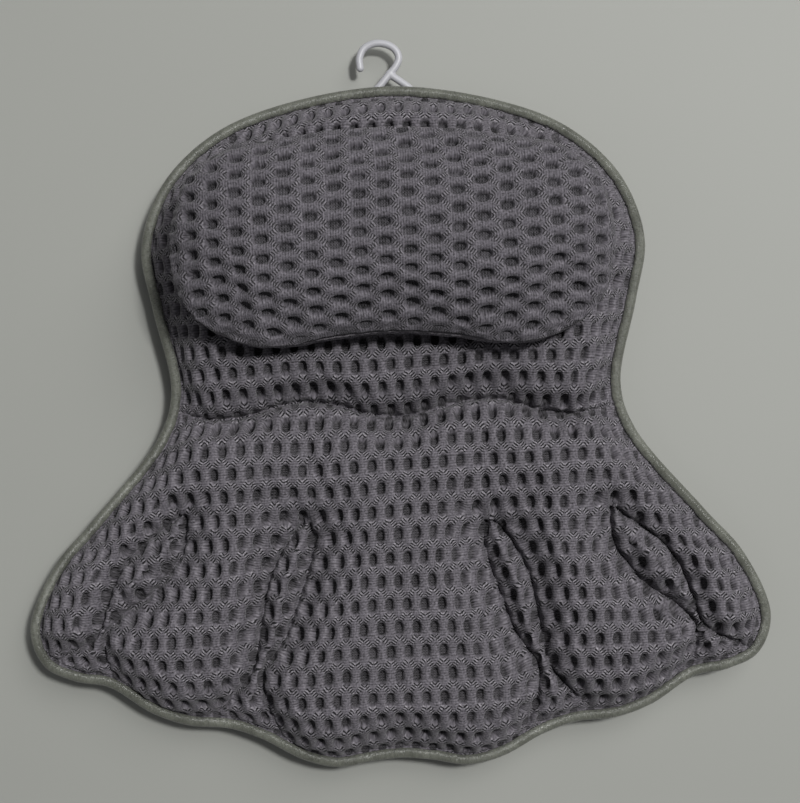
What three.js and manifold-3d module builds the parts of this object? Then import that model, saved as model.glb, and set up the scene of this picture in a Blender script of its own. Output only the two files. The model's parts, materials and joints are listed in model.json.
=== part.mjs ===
// Bath pillow: a quilted pad of air mesh with a kidney headrest, a bound edge, a hanging hook
// and suction cups on its back. Millimetres, lying face up on its cups, +Z up, hook towards +Y.
import * as THREE from "three";
import { mergeVertices } from "three/addons/utils/BufferGeometryUtils.js";
import Module from "manifold-3d";

const wasm = await Module();
wasm.setup();

// The pad's plan
const PAD_WIDTH = 430;
const PAD_LENGTH = 395;
// Right half of the outline, from the top middle down to the bottom middle, in shares of half the
// width and half the length: head arc, waist, wing and the scallops of the lower edge.
const OUTLINE_SHARES = [
  [0, 1], [0.355, 0.932], [0.513, 0.844], [0.626, 0.712], [0.68, 0.535], [0.653, 0.359],
  [0.607, 0.115], [0.642, -0.015], [0.826, -0.259], [0.931, -0.391], [1, -0.574],
  [0.964, -0.685], [0.877, -0.732], [0.791, -0.75], [0.675, -0.829], [0.58, -0.866],
  [0.464, -0.879], [0.378, -0.912], [0.27, -0.974], [0.175, -0.998], [0.081, -0.982],
  [0, -0.974],
];
const HEAD_CORNER_SHARES = [0.6, 0.75];
const WING_CORNER_SHARES = [0.97, -0.67];

// The wavy quilting seam across the waist, on which the pad folds
const FOLD_OFFSET = 10.4;
const FOLD_WAVE = 4.2;
const FOLD_WAVE_PITCH = 102;
const FOLD_GAP = 0.9;
const BACK_FOLD_GAP = 1.5;
const BINDING_FOLD_GAP = 2.9;

// The fish-shaped quilting of the right half: two seams that bow apart, meet and part again. Each
// starts on the fold, is stitched from its second point on, and ends on the edge.
const INNER_PETAL_INNER_SHARES = [
  [0.2, 0], [0.237, -0.279], [0.228, -0.324], [0.234, -0.368], [0.252, -0.435],
  [0.283, -0.529], [0.31, -0.603], [0.34, -0.655], [0.366, -0.7], [0.366, -0.775],
  [0.337, -0.935],
];
const INNER_PETAL_OUTER_SHARES = [
  [0.235, 0], [0.254, -0.279], [0.278, -0.303], [0.316, -0.368], [0.346, -0.441],
  [0.364, -0.521], [0.379, -0.597], [0.394, -0.69], [0.428, -0.745], [0.513, -0.87],
];
const OUTER_PETAL_INNER_SHARES = [
  [0.46, 0], [0.569, -0.247], [0.57, -0.294], [0.58, -0.353], [0.61, -0.403],
  [0.648, -0.456], [0.694, -0.497], [0.74, -0.532], [0.79, -0.591], [0.793, -0.656],
  [0.791, -0.75],
];
const OUTER_PETAL_OUTER_SHARES = [
  [0.51, 0], [0.585, -0.247], [0.621, -0.279], [0.669, -0.318], [0.713, -0.36],
  [0.746, -0.409], [0.769, -0.466], [0.785, -0.515], [0.806, -0.582], [0.837, -0.615],
  [0.88, -0.638], [0.945, -0.703],
];

// The pad's layers
const CLEARANCE = 0.3;
const BACK_THICKNESS = 0.8;
const RIM_THICKNESS = 0.8;
const MESH_THICKNESS = 5;
const CROWN_HEIGHT = 24;
const CROWN_REACH = 28;
// How far a petal's seam draws the crown down: its share of the height, the part of that share in the
// narrow crease along the stitches, and the reaches of the crease and of the slope beside it
const PETAL_DIP = { share: 0.76, crease: 0.34, near: 4, far: 18 };
const WADDING_FILL_SHARE = 0.85;

// The binding: a tape folded over the edge
const BINDING_WIDTH = 6;
const BINDING_TAPE = 1.2;
const BINDING_NOSE_SHARES = { shoulder: 0.24, lip: 0.9 };
const CLOTH_SHORTFALL = 0.9;

// The headrest
const HEADREST_WIDTH = 239;
const HEADREST_DEPTH = 117;
const HEADREST_HEIGHT = 48;
const HEADREST_SEAM_HEIGHT = 22;
const HEADREST_TUCK = 7;
const HEADREST_OFFSET = 106;
const HEADREST_FABRIC = 4;
const HEADREST_ROUNDNESS = 2.4;
const HEADREST_SHARES = [
  [0, 1], [0.323, 0.962], [0.554, 0.886], [0.739, 0.816], [0.855, 0.702], [0.933, 0.504],
  [0.998, 0.031], [0.979, -0.433], [0.878, -0.782], [0.762, -0.915], [0.637, -1],
  [0.462, -1], [0.3, -0.948], [0, -0.896],
];

// The suction cups and the straps that hold them
const CUP_DIAMETER = 52;
const CUP_DOME_HEIGHT = 13;
const CUP_HOLLOW_HEIGHT = 7;
const CUP_LIP_WIDTH = 2.4;
const CUP_LIP_THICKNESS = 1.3;
const CUP_BOSS_DIAMETER = 15;
const STUD_NECK_DIAMETER = 7;
const STUD_HEAD_DIAMETER = 14;
const STUD_HEAD_THICKNESS = 3;
// Bend of the hollow's roof, corners of the dome and chamfers of the stud's head, as shares of the
// radius or of the way from the lip to the boss, and of the height
const CUP_HOLLOW_SHARE = [0.55, 0.78];
const CUP_DOME_SHARES = [[0.35, 0.45], [0.8, 0.8]];
const STUD_CHAMFER_SHARES = { side: 0.3, top: 0.8 };
const STRAP_WIDTH = 20;
const STRAP_LENGTH = 42;
const STRAP_THICKNESS = 1.2;
const STRAP_POCKET_LENGTH = 20;
// Cup places on the right half and the middle, in shares of half the width and half the length
const HEAD_CUP_SHARES = [[0.31, 0.7], [0.43, 0.25]];
const SHOULDER_CUP_SHARES = [[0.66, -0.5]];
const MIDDLE_CUP_SHARE = -0.66;

// The hanging hook and its loop
const HOOK_WIRE = 4.2;
const HOOK_WIDTH = 27.3;
const HOOK_REACH = 33.6;
const HOOK_INSET = 6;
// Hook route in shares of half the width and of the reach above the bar: from the tip over the curl
// and down the stem, along the bar and up its right end; then the right leg, up to the stem.
const HOOK_CURL_SHARES = [
  [-1.26, 0.54], [-1.29, 0.7], [-1.11, 0.87], [-0.72, 0.96], [-0.38, 0.97], [0, 0.93],
  [0.3, 0.83], [0.4, 0.7], [0.26, 0.56], [-0.04, 0.42], [-0.47, 0.21], [-0.86, 0.06],
];
const HOOK_BAR_SHARES = [[-0.76, 0], [-0.6, 0], [0, 0], [0.6, 0], [0.8, 0], [0.98, 0.03]];
const HOOK_LEG_SHARES = [[0.9, 0], [1, 0.09], [0.8, 0.19], [0.1, 0.4]];
const LOOP_WIDTH = 15;
const LOOP_TAPE = 1;
const LOOP_TAIL = 16;

// How finely curves are cut
const HEAD_COLUMNS = 20;
const HEAD_ROWS = 12;
const SHOULDER_COLUMNS = [4, 2, 5, 2, 4];
const SHOULDER_ROWS = 15;
const RIM_STEPS = { head: 40, shoulder: 66 };
const BACK_SEAM_STEPS = 28;
const HEADREST_STEPS = 40;
const CUP_SEGMENTS = 18;
const WIRE_SIDES = 8;
const WIRE_STEPS = 48;
const WIRE_LEG_STEPS = 6;
const CUT_OVERRUN = 1;
const CURVE_STEPS = 1600;
const NEAREST_STEPS = 1200;
const RIM_LINE_STEPS = 400;
const STITCH_STEPS = 36;
const SHARE_TOLERANCE = 1e-7;
const MERGE_TOLERANCE = 1e-4;
const GRID_CROWDING = 0.7;

// Levels above the surface that the cups stand on
const STRAP_Z = CUP_DOME_HEIGHT + CLEARANCE;
const STUD_HEAD_Z = STRAP_Z + STRAP_THICKNESS + CLEARANCE;
const BACK_Z = STUD_HEAD_Z + STUD_HEAD_THICKNESS + CLEARANCE;
const RIM_BOTTOM_Z = BACK_Z + BACK_THICKNESS + CLEARANCE;
const RIM_TOP_Z = RIM_BOTTOM_Z + RIM_THICKNESS;
const FOLD_Z = (BACK_Z + RIM_TOP_Z) / 2;
const SLOT_HALF = (RIM_TOP_Z - BACK_Z) / 2 + CLEARANCE;
const BINDING_HALF = SLOT_HALF + BINDING_TAPE;
const HEADREST_Z = RIM_TOP_Z + CROWN_HEIGHT + CLEARANCE;
const LOOP_INNER = HOOK_WIRE / 2 + CLEARANCE;
const LOOP_OUTER = LOOP_INNER + LOOP_TAPE;
const HOOK_Z = FOLD_Z - BINDING_HALF - CLEARANCE - LOOP_OUTER;

// How far the cloth's edge and the foot of the crown lie inside the outline
const EDGE_INSET = BINDING_TAPE + CLOTH_SHORTFALL;
const CROWN_INSET = BINDING_WIDTH + CLOTH_SHORTFALL;

const { clamp, lerp } = THREE.MathUtils;

// A plan place from shares of half the pad's width and half its length.
function onPad([x, y]) {
  return new THREE.Vector3((x * PAD_WIDTH) / 2, (y * PAD_LENGTH) / 2, 0);
}

// A closed curve through a right half's points and their mirror images.
function mirroredCurve(points) {
  const mirrored = points
    .slice(1, -1)
    .reverse()
    .map((p) => new THREE.Vector3(-p.x, p.y, 0));
  const curve = new THREE.CatmullRomCurve3([...points, ...mirrored], true, "centripetal");
  curve.arcLengthDivisions = CURVE_STEPS;
  return curve;
}

const outline = mirroredCurve(OUTLINE_SHARES.map(onPad));

// The point of a clockwise closed curve at a share of its length, moved inwards.
function insetPoint(curve, share, inset) {
  const at = ((share % 1) + 1) % 1;
  const point = curve.getPointAt(at);
  const along = curve.getTangentAt(at);
  return new THREE.Vector3(point.x + along.y * inset, point.y - along.x * inset, 0);
}

// Height of the fold seam's wave at x.
function foldY(x) {
  return FOLD_OFFSET - FOLD_WAVE * Math.cos((2 * Math.PI * x) / FOLD_WAVE_PITCH);
}

// The outline's share, on the right side, where a line inset from it comes within a rise of the fold.
function foldShare(inset, rise) {
  let above = 0;
  let below = 0.5;
  while (below - above > SHARE_TOLERANCE) {
    const middle = (above + below) / 2;
    const p = insetPoint(outline, middle, inset);
    if (p.y > foldY(p.x) + rise) above = middle;
    else below = middle;
  }
  return above;
}

// The outline's share, on the right side, that lies nearest to a place.
function nearestShare(place) {
  let best = 0;
  let nearest = Infinity;
  for (let i = 0; i <= NEAREST_STEPS; i++) {
    const share = i / NEAREST_STEPS / 2;
    const distance = outline.getPointAt(share).distanceTo(place);
    if (distance < nearest) {
      nearest = distance;
      best = share;
    }
  }
  return best;
}

// Distance from a plan place to a line of points.
function distanceTo(line, x, y) {
  let nearest = Infinity;
  for (let i = 1; i < line.length; i++) {
    const [a, b] = [line[i - 1], line[i]];
    const [dx, dy] = [b.x - a.x, b.y - a.y];
    const t = clamp(((x - a.x) * dx + (y - a.y) * dy) / (dx * dx + dy * dy), 0, 1);
    nearest = Math.min(nearest, Math.hypot(x - a.x - t * dx, y - a.y - t * dy));
  }
  return nearest;
}

// A quilting seam of the right half: its route from the fold to the edge, and its stitched stretch.
function seamRib(shares) {
  const places = shares.map(onPad);
  const [start, end] = [places[0], places.length - 1];
  start.y = foldY(start.x) - FOLD_GAP / 2;
  const share = nearestShare(places[end]);
  places[end] = insetPoint(outline, share, CROWN_INSET);
  const route = new THREE.CatmullRomCurve3(places, false, "centripetal");
  const stitched = new THREE.CatmullRomCurve3(places.slice(1), false, "centripetal");
  return { share, at: (v) => route.getPointAt(v), stitches: stitched.getPoints(STITCH_STEPS) };
}

const petalSeams = [
  INNER_PETAL_INNER_SHARES,
  INNER_PETAL_OUTER_SHARES,
  OUTER_PETAL_INNER_SHARES,
  OUTER_PETAL_OUTER_SHARES,
].map(seamRib);

const rimLine = outline.getSpacedPoints(RIM_LINE_STEPS);

// The swelling of a stuffed cloth: nothing at its seam, full at the reach.
function swell(distance, reach) {
  return Math.sin((clamp(distance / reach, 0, 1) * Math.PI) / 2);
}

// The share of the crown that a seam leaves standing at a distance from it.
function besideSeam(distance, { share, crease, near, far }) {
  const slope = 1 - crease;
  return 1 - share * (crease * (1 - swell(distance, near)) + slope * (1 - swell(distance, far)));
}

// How far the pad stands above its rim at a plan place.
function crownAt(x, y) {
  const fromFold = Math.abs(y - foldY(x)) - FOLD_GAP / 2;
  const fromRim = distanceTo(rimLine, x, y) - CROWN_INSET;
  const seams = petalSeams.map((seam) => distanceTo(seam.stitches, Math.abs(x), y));
  const plain = CROWN_HEIGHT * swell(Math.min(fromFold, fromRim), CROWN_REACH);
  return plain * besideSeam(Math.min(...seams), PETAL_DIP);
}

// Shares from 0 to 1 that crowd towards both ends.
function graded(count) {
  return Array.from({ length: count + 1 }, (_, i) => {
    const even = i / count;
    return lerp(even, (1 - Math.cos(Math.PI * even)) / 2, GRID_CROWDING);
  });
}

function evenly(count) {
  return Array.from({ length: count + 1 }, (_, i) => i / count);
}

// Plan grid of the head section's crown: rows from the fold to the head arc.
function headGrid() {
  const side = foldShare(CROWN_INSET, FOLD_GAP / 2);
  const corner = nearestShare(onPad(HEAD_CORNER_SHARES));
  const rim = (share) => insetPoint(outline, share, CROWN_INSET);
  const right = (v) => rim(lerp(side, corner, v));
  const left = (v) => rim(-lerp(side, corner, v));
  const top = (u) => rim(lerp(-corner, corner, u));
  const fold = (u) => {
    const x = lerp(left(0).x, right(0).x, u);
    return new THREE.Vector3(x, foldY(x) + FOLD_GAP / 2, 0);
  };
  const corners = [fold(0), fold(1), top(0), top(1)];
  return graded(HEAD_ROWS).map((v) =>
    graded(HEAD_COLUMNS).map((u) =>
      new THREE.Vector3()
        .addScaledVector(fold(u), 1 - v)
        .addScaledVector(top(u), v)
        .addScaledVector(left(v), 1 - u)
        .addScaledVector(right(v), u)
        .addScaledVector(corners[0], -(1 - u) * (1 - v))
        .addScaledVector(corners[1], -u * (1 - v))
        .addScaledVector(corners[2], -(1 - u) * v)
        .addScaledVector(corners[3], -u * v),
    ),
  );
}

// Plan grid of the shoulder section's crown: rows from the fold to the scalloped edge. Its columns
// follow the quilting seams, so that every groove lies on edges of the mesh.
function shoulderGrid() {
  const rim = (share) => insetPoint(outline, share, CROWN_INSET);
  const side = foldShare(CROWN_INSET, -FOLD_GAP / 2);
  const corner = nearestShare(onPad(WING_CORNER_SHARES));
  const foldPoint = (x) => new THREE.Vector3(x, foldY(x) - FOLD_GAP / 2, 0);
  const middle = { share: 0.5, at: (v) => foldPoint(0).lerp(rim(0.5), v) };
  const edge = { share: corner, at: (v) => rim(lerp(side, corner, v)) };
  const ribs = [middle, ...petalSeams, edge];
  const half = graded(SHOULDER_ROWS).map((v) => {
    const row = [];
    SHOULDER_COLUMNS.forEach((count, panel) => {
      const [a, b] = [ribs[panel], ribs[panel + 1]];
      evenly(count).forEach((f, i) => {
        if (panel > 0 && i === 0) return;
        const p = a.at(v).lerp(b.at(v), f);
        const foldEnd = foldPoint(lerp(a.at(0).x, b.at(0).x, f));
        const rimEnd = rim(lerp(a.share, b.share, f));
        p.addScaledVector(foldEnd.sub(a.at(0).lerp(b.at(0), f)), 1 - v);
        p.addScaledVector(rimEnd.sub(a.at(1).lerp(b.at(1), f)), v);
        row.push(p);
      });
    });
    return row;
  });
  return half.map((row) => [
    ...row.slice(1).reverse().map((p) => new THREE.Vector3(-p.x, p.y, 0)),
    ...row,
  ]);
}

// Faces of a plan grid, as index triples into its points listed row by row. Each cell is split
// along the diagonal that leaves the fuller triangles.
function gridFaces(grid) {
  const width = grid[0].length;
  const points = grid.flat();
  const way = Math.sign(THREE.ShapeUtils.area(gridBorder(grid).map((index) => points[index])));
  const area = (face) => way * THREE.ShapeUtils.area(face.map((index) => points[index]));
  const slimmest = (split) => Math.min(...split.map(area));
  const faces = [];
  for (let j = 0; j + 1 < grid.length; j++) {
    for (let i = 0; i + 1 < width; i++) {
      const a = j * width + i;
      const [b, c, d] = [a + 1, a + 1 + width, a + width];
      const first = [[a, b, c], [a, c, d]];
      const second = [[a, b, d], [b, c, d]];
      faces.push(...(slimmest(first) > slimmest(second) ? first : second));
    }
  }
  return faces;
}

// The points round a grid, as indices: its first row, last column, last row and first column.
function gridBorder(grid) {
  const width = grid[0].length;
  const last = grid.length - 1;
  return [
    ...grid[0].map((_, i) => i),
    ...grid.slice(1).map((_, j) => (j + 1) * width + width - 1),
    ...grid[last].slice(1).map((_, i) => last * width + width - 2 - i),
    ...grid.slice(1, last).map((_, j) => (last - 1 - j) * width),
  ];
}

// A flange of cloth round a grid's rim sides, from the crown's foot out to the cloth's edge.
function addFlange(points, faces, grid) {
  const width = grid[0].length;
  const last = grid.length - 1;
  const route = [
    ...grid.map((_, j) => j * width),
    ...grid[last].slice(1).map((_, i) => last * width + i + 1),
    ...grid.slice(0, last).map((_, j) => (last - 1 - j) * width + width - 1),
  ];
  const outer = route.map((index) => {
    const out = outwardFrom(points[index]);
    return points.push(out) - 1;
  });
  for (let k = 1; k < route.length; k++) {
    faces.push([route[k - 1], route[k], outer[k]], [route[k - 1], outer[k], outer[k - 1]]);
  }
}

// The place on the cloth's edge across from a place on the crown's foot.
function outwardFrom(place) {
  const share = nearestShare(new THREE.Vector3(Math.abs(place.x), place.y, 0));
  const p = insetPoint(outline, share, EDGE_INSET);
  return new THREE.Vector3(Math.sign(place.x || 1) * p.x, p.y, 0);
}

// A geometry of indexed points, turned face out.
function geometryOf(points, faces) {
  const geometry = new THREE.BufferGeometry();
  geometry.setAttribute(
    "position",
    new THREE.Float32BufferAttribute(points.flatMap((p) => [p.x, p.y, p.z]), 3),
  );
  let volume = 0;
  for (const [a, b, c] of faces) {
    volume += points[a].dot(new THREE.Vector3().crossVectors(points[b], points[c]));
  }
  const outward = volume < 0 ? faces.map(([a, b, c]) => [a, c, b]) : faces;
  geometry.setIndex(outward.flat());
  geometry.computeVertexNormals();
  return geometry;
}

// A solid over a plan mesh, between a lower and an upper height, walled along its open edges.
function sheetSolid(plan, faces, lower, upper) {
  const count = plan.length;
  const points = [
    ...plan.map((p) => new THREE.Vector3(p.x, p.y, upper(p))),
    ...plan.map((p) => new THREE.Vector3(p.x, p.y, lower(p))),
  ];
  const ring = ([a, b, c]) => [[a, b], [b, c], [c, a]];
  const turned = faces.map(([a, b, c]) => {
    const area = THREE.ShapeUtils.area([plan[a], plan[b], plan[c]]);
    return area < 0 ? [a, c, b] : [a, b, c];
  });
  const edges = new Set(turned.flatMap(ring).map(([a, b]) => a + " " + b));
  const walls = turned
    .flatMap(ring)
    .filter(([a, b]) => !edges.has(b + " " + a))
    .flatMap(([a, b]) => [[b, a, a + count], [b, a + count, b + count]]);
  const under = turned.map(([a, b, c]) => [a + count, c + count, b + count]);
  return geometryOf(points, [...turned, ...under, ...walls]);
}

// Triangles over a flat ring of plan places, each turned the same way as the ring.
function flatFaces(places) {
  const way = Math.sign(THREE.ShapeUtils.area(places));
  return THREE.ShapeUtils.triangulateShape(places, []).map(([a, b, c]) => {
    const area = THREE.ShapeUtils.area([places[a], places[b], places[c]]);
    return Math.sign(area) === way ? [a, b, c] : [a, c, b];
  });
}

const flatOf = (ring) => ring.map((p) => new THREE.Vector2(p.x, p.y));

// A skin over rings of points: joined end to end, or closed by flat ends laid out as places.
function skin(rings, places) {
  const size = rings[0].length;
  const faces = [];
  const spans = places ? rings.length - 1 : rings.length;
  for (let k = 0; k < spans; k++) {
    for (let i = 0; i < size; i++) {
      const next = (i + 1) % size;
      const [a, b] = [k * size + i, k * size + next];
      const above = ((k + 1) % rings.length) * size;
      faces.push([a, b, above + next], [a, above + next, above + i]);
    }
  }
  if (places) {
    const last = (rings.length - 1) * size;
    faces.push(...flatFaces(places[0]).map(([a, b, c]) => [a, c, b]));
    faces.push(...flatFaces(places[1]).map((face) => face.map((index) => index + last)));
  }
  return geometryOf(rings.flat(), faces);
}

// A closed geometry as a manifold solid, and back.
function solidOf(geometry) {
  const bare = new THREE.BufferGeometry();
  bare.setAttribute("position", geometry.getAttribute("position"));
  if (geometry.index) bare.setIndex(geometry.index);
  const merged = mergeVertices(bare, MERGE_TOLERANCE);
  const mesh = new wasm.Mesh({
    numProp: 3,
    vertProperties: merged.attributes.position.array,
    triVerts: new Uint32Array(merged.index.array),
  });
  return new wasm.Manifold(mesh);
}

function geometryFrom(solid) {
  const mesh = solid.getMesh();
  const geometry = new THREE.BufferGeometry();
  geometry.setAttribute("position", new THREE.BufferAttribute(mesh.vertProperties, 3));
  geometry.setIndex(new THREE.BufferAttribute(mesh.triVerts, 1));
  geometry.computeVertexNormals();
  return geometry;
}

// The finishes
const finish = {
  mesh: new THREE.MeshStandardMaterial({ color: 0x545155, roughness: 0.9 }),
  backing: new THREE.MeshStandardMaterial({ color: 0x4a484c, roughness: 0.95 }),
  binding: new THREE.MeshStandardMaterial({ color: 0x5c5f55, roughness: 0.6 }),
  wadding: new THREE.MeshStandardMaterial({ color: 0xe8e8e4, roughness: 1 }),
  tape: new THREE.MeshStandardMaterial({ color: 0x3d3c40, roughness: 0.9 }),
  hook: new THREE.MeshStandardMaterial({ color: 0xe2e1e6, roughness: 0.35 }),
  cup: new THREE.MeshStandardMaterial({ color: 0xc9d0d2, roughness: 0.2 }),
};

const pillow = new THREE.Group();

function add(name, geometry, material, place = new THREE.Vector3()) {
  const mesh = new THREE.Mesh(geometry, material);
  mesh.name = name;
  mesh.position.copy(place);
  pillow.add(mesh);
}

// A front cover: air mesh that is thin at its seams and full between them.
function frontCover(grid) {
  const points = grid.flat();
  const faces = gridFaces(grid);
  addFlange(points, faces, grid);
  const inner = (CROWN_HEIGHT + RIM_THICKNESS - MESH_THICKNESS) / CROWN_HEIGHT;
  return sheetSolid(
    points,
    faces,
    (p) => RIM_BOTTOM_Z + inner * crownAt(p.x, p.y),
    (p) => RIM_TOP_Z + crownAt(p.x, p.y),
  );
}

// The wadding under a front cover: flat on the back panel, and quilted down with the cover.
function wadding(coverGrid) {
  const inner = (CROWN_HEIGHT + RIM_THICKNESS - MESH_THICKNESS) / CROWN_HEIGHT;
  const grid = coverGrid.slice(1, -1).map((row) => row.slice(1, -1));
  const rise = (p) => WADDING_FILL_SHARE * inner * crownAt(p.x, p.y);
  const top = grid.flat().map((p) => new THREE.Vector3(p.x, p.y, RIM_BOTTOM_Z + rise(p)));
  const border = gridBorder(grid);
  const foot = border.map((index) => new THREE.Vector3(top[index].x, top[index].y, RIM_BOTTOM_Z));
  const faces = gridFaces(grid);
  border.forEach((index, k) => {
    const next = (k + 1) % border.length;
    const [a, b] = [top.length + k, top.length + next];
    faces.push([index, a, b], [index, b, border[next]]);
  });
  const floor = flatFaces(flatOf(foot)).map(([a, b, c]) => [a, c, b]);
  faces.push(...floor.map((face) => face.map((index) => index + top.length)));
  return geometryOf([...top, ...foot], faces);
}

// A section's stretch of the rim: shares of the outline from one fold end to the other.
function rimShares(section, inset, gap) {
  const side = foldShare(inset, section === "head" ? gap / 2 : -gap / 2);
  const [from, to] = section === "head" ? [-side, side] : [side, 1 - side];
  return evenly(RIM_STEPS[section]).map((t) => lerp(from, to, t));
}

// A back panel: plain cloth cut to the section's outline and to the fold seam.
function backPanel(section) {
  const side = section === "head" ? 1 : -1;
  const shares = rimShares(section, EDGE_INSET, BACK_FOLD_GAP);
  const rim = shares.map((share) => insetPoint(outline, share, EDGE_INSET));
  const [from, to] = [rim[rim.length - 1].x, rim[0].x];
  const seam = evenly(BACK_SEAM_STEPS).slice(1, -1).map((t) => {
    const x = lerp(from, to, t);
    return new THREE.Vector3(x, foldY(x) + (side * BACK_FOLD_GAP) / 2, 0);
  });
  const geometry = new THREE.ExtrudeGeometry(new THREE.Shape(flatOf([...rim, ...seam])), {
    depth: BACK_THICKNESS,
    bevelEnabled: false,
  });
  return geometry.translate(0, 0, BACK_Z);
}

// The binding's section: a tape folded round the cloth's edge, as inset and height.
function bindingSection() {
  const shoulder = BINDING_WIDTH * BINDING_NOSE_SHARES.shoulder;
  const lip = SLOT_HALF + BINDING_TAPE * BINDING_NOSE_SHARES.lip;
  return [
    [0, -SLOT_HALF], [0, SLOT_HALF], [shoulder, BINDING_HALF], [BINDING_WIDTH, lip],
    [BINDING_WIDTH, SLOT_HALF], [BINDING_TAPE, SLOT_HALF],
    [BINDING_TAPE, -SLOT_HALF], [BINDING_WIDTH, -SLOT_HALF],
    [BINDING_WIDTH, -lip], [shoulder, -BINDING_HALF],
  ];
}

function binding(section) {
  const profile = bindingSection();
  const rings = rimShares(section, 0, BINDING_FOLD_GAP).map((share) =>
    profile.map(([inset, height]) => {
      const p = insetPoint(outline, share, inset);
      return new THREE.Vector3(p.x, p.y, FOLD_Z + height);
    }),
  );
  const places = profile.map(([x, y]) => new THREE.Vector2(x, y));
  return skin(rings, [places, places]);
}

const headrestOutline = mirroredCurve(
  HEADREST_SHARES.map(
    ([x, y]) => new THREE.Vector3((x * HEADREST_WIDTH) / 2, (y * HEADREST_DEPTH) / 2, 0),
  ),
);

// A ring of the headrest: its outline moved inwards, drawn towards its middle line, at a height.
function headrestRing(inset, draw, height) {
  const spine = (HEADREST_WIDTH - HEADREST_DEPTH) / 2;
  return evenly(HEADREST_STEPS)
    .slice(0, -1)
    .map((share) => {
      const p = insetPoint(headrestOutline, share, inset);
      const target = new THREE.Vector3(clamp(p.x, -spine, spine), 0, 0);
      p.lerp(target, draw);
      return p.add(new THREE.Vector3(0, HEADREST_OFFSET, HEADREST_Z + height));
    });
}

// Rings of the headrest's dome, from its seam to its flat top.
function domeRings(inset, base, rise) {
  const draws = [0, 0.05, 0.14, 0.28, 0.5, 0.85];
  return draws.map((draw) => {
    const full = 1 - Math.pow(1 - draw, HEADREST_ROUNDNESS);
    return headrestRing(inset, draw, base + rise * Math.pow(full, 1 / HEADREST_ROUNDNESS));
  });
}

// The headrest's face: a domed panel, open underneath.
function headrestFace() {
  const rise = HEADREST_HEIGHT - HEADREST_SEAM_HEIGHT;
  const outer = domeRings(0, HEADREST_SEAM_HEIGHT, rise);
  const inner = domeRings(HEADREST_FABRIC, HEADREST_SEAM_HEIGHT, rise - HEADREST_FABRIC);
  const rings = [...inner.reverse(), ...outer];
  return skin(rings, [flatOf(rings[0]), flatOf(rings[rings.length - 1])]);
}

// The headrest's side band, from the pad up to the face's seam, tucked in at its foot.
function headrestBand() {
  const top = HEADREST_SEAM_HEIGHT - CLEARANCE;
  const levels = [
    [HEADREST_TUCK, 0],
    [HEADREST_TUCK * 0.3, top / 2],
    [0, top],
  ];
  const outer = levels.map(([inset, height]) => headrestRing(inset, 0, height));
  const inner = levels.map(([inset, height]) => headrestRing(inset + HEADREST_FABRIC, 0, height));
  return skin([...outer, ...inner.reverse()]);
}

// The headrest's stuffing, clear of the face and the band.
function headrestStuffing() {
  const shell = HEADREST_FABRIC + CLEARANCE;
  const rise = HEADREST_HEIGHT - HEADREST_SEAM_HEIGHT - shell - CLEARANCE;
  const foot = headrestRing(HEADREST_TUCK + shell, 0, 0);
  const rings = [foot, ...domeRings(2 * shell, HEADREST_SEAM_HEIGHT, rise)];
  return skin(rings, [flatOf(foot), flatOf(rings[rings.length - 1])]);
}

// A suction cup about its own axis, from its lip to the head of its stud.
function suctionCup() {
  const lip = CUP_DIAMETER / 2;
  const boss = CUP_BOSS_DIAMETER / 2;
  const neck = STUD_NECK_DIAMETER / 2;
  const head = STUD_HEAD_DIAMETER / 2;
  const headTop = STUD_HEAD_Z + STUD_HEAD_THICKNESS;
  const hollow = lip - CUP_LIP_WIDTH;
  const profile = [
    [0, CUP_HOLLOW_HEIGHT],
    [hollow * CUP_HOLLOW_SHARE[0], CUP_HOLLOW_HEIGHT * CUP_HOLLOW_SHARE[1]],
    [hollow, 0],
    [lip, 0],
    [lip, CUP_LIP_THICKNESS],
    ...CUP_DOME_SHARES.map(([r, z]) => [lerp(lip, boss, r), CUP_DOME_HEIGHT * z]),
    [boss, CUP_DOME_HEIGHT],
    [neck, CUP_DOME_HEIGHT],
    [neck, STUD_HEAD_Z],
    [head, STUD_HEAD_Z + STUD_HEAD_THICKNESS * STUD_CHAMFER_SHARES.side],
    [head * STUD_CHAMFER_SHARES.top, headTop],
    [0, headTop],
  ];
  return new THREE.LatheGeometry(
    profile.map(([r, z]) => new THREE.Vector2(r, z)),
    CUP_SEGMENTS,
  ).rotateX(Math.PI / 2);
}

// A strap over a cup's stud: sewn flat at both ends, raised between them, with a hole for the neck.
function cupStrap() {
  const top = BACK_Z - CLEARANCE;
  const pocket = STRAP_POCKET_LENGTH / 2;
  const foot = pocket + (top - STRAP_Z - STRAP_THICKNESS);
  const end = STRAP_LENGTH / 2;
  const upper = [[-end, top], [-foot, top], [-pocket, STRAP_Z + STRAP_THICKNESS]];
  const lower = [[-pocket, STRAP_Z], [-foot, top - STRAP_THICKNESS], [-end, top - STRAP_THICKNESS]];
  const mirrored = (list) => list.map(([x, z]) => [-x, z]).reverse();
  const shape = new THREE.Shape(
    [...upper, ...mirrored(upper), ...mirrored(lower), ...lower].map(
      ([x, z]) => new THREE.Vector2(x, z),
    ),
  );
  const strap = new THREE.ExtrudeGeometry(shape, { depth: STRAP_WIDTH, bevelEnabled: false })
    .translate(0, 0, -STRAP_WIDTH / 2)
    .rotateX(Math.PI / 2);
  const hole = new THREE.CylinderGeometry(
    STUD_NECK_DIAMETER / 2 + CLEARANCE,
    STUD_NECK_DIAMETER / 2 + CLEARANCE,
    STRAP_THICKNESS + 2 * CUT_OVERRUN,
    CUP_SEGMENTS,
  )
    .rotateX(Math.PI / 2)
    .translate(0, 0, STRAP_Z + STRAP_THICKNESS / 2);
  return geometryFrom(solidOf(strap).subtract(solidOf(hole)));
}

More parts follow.
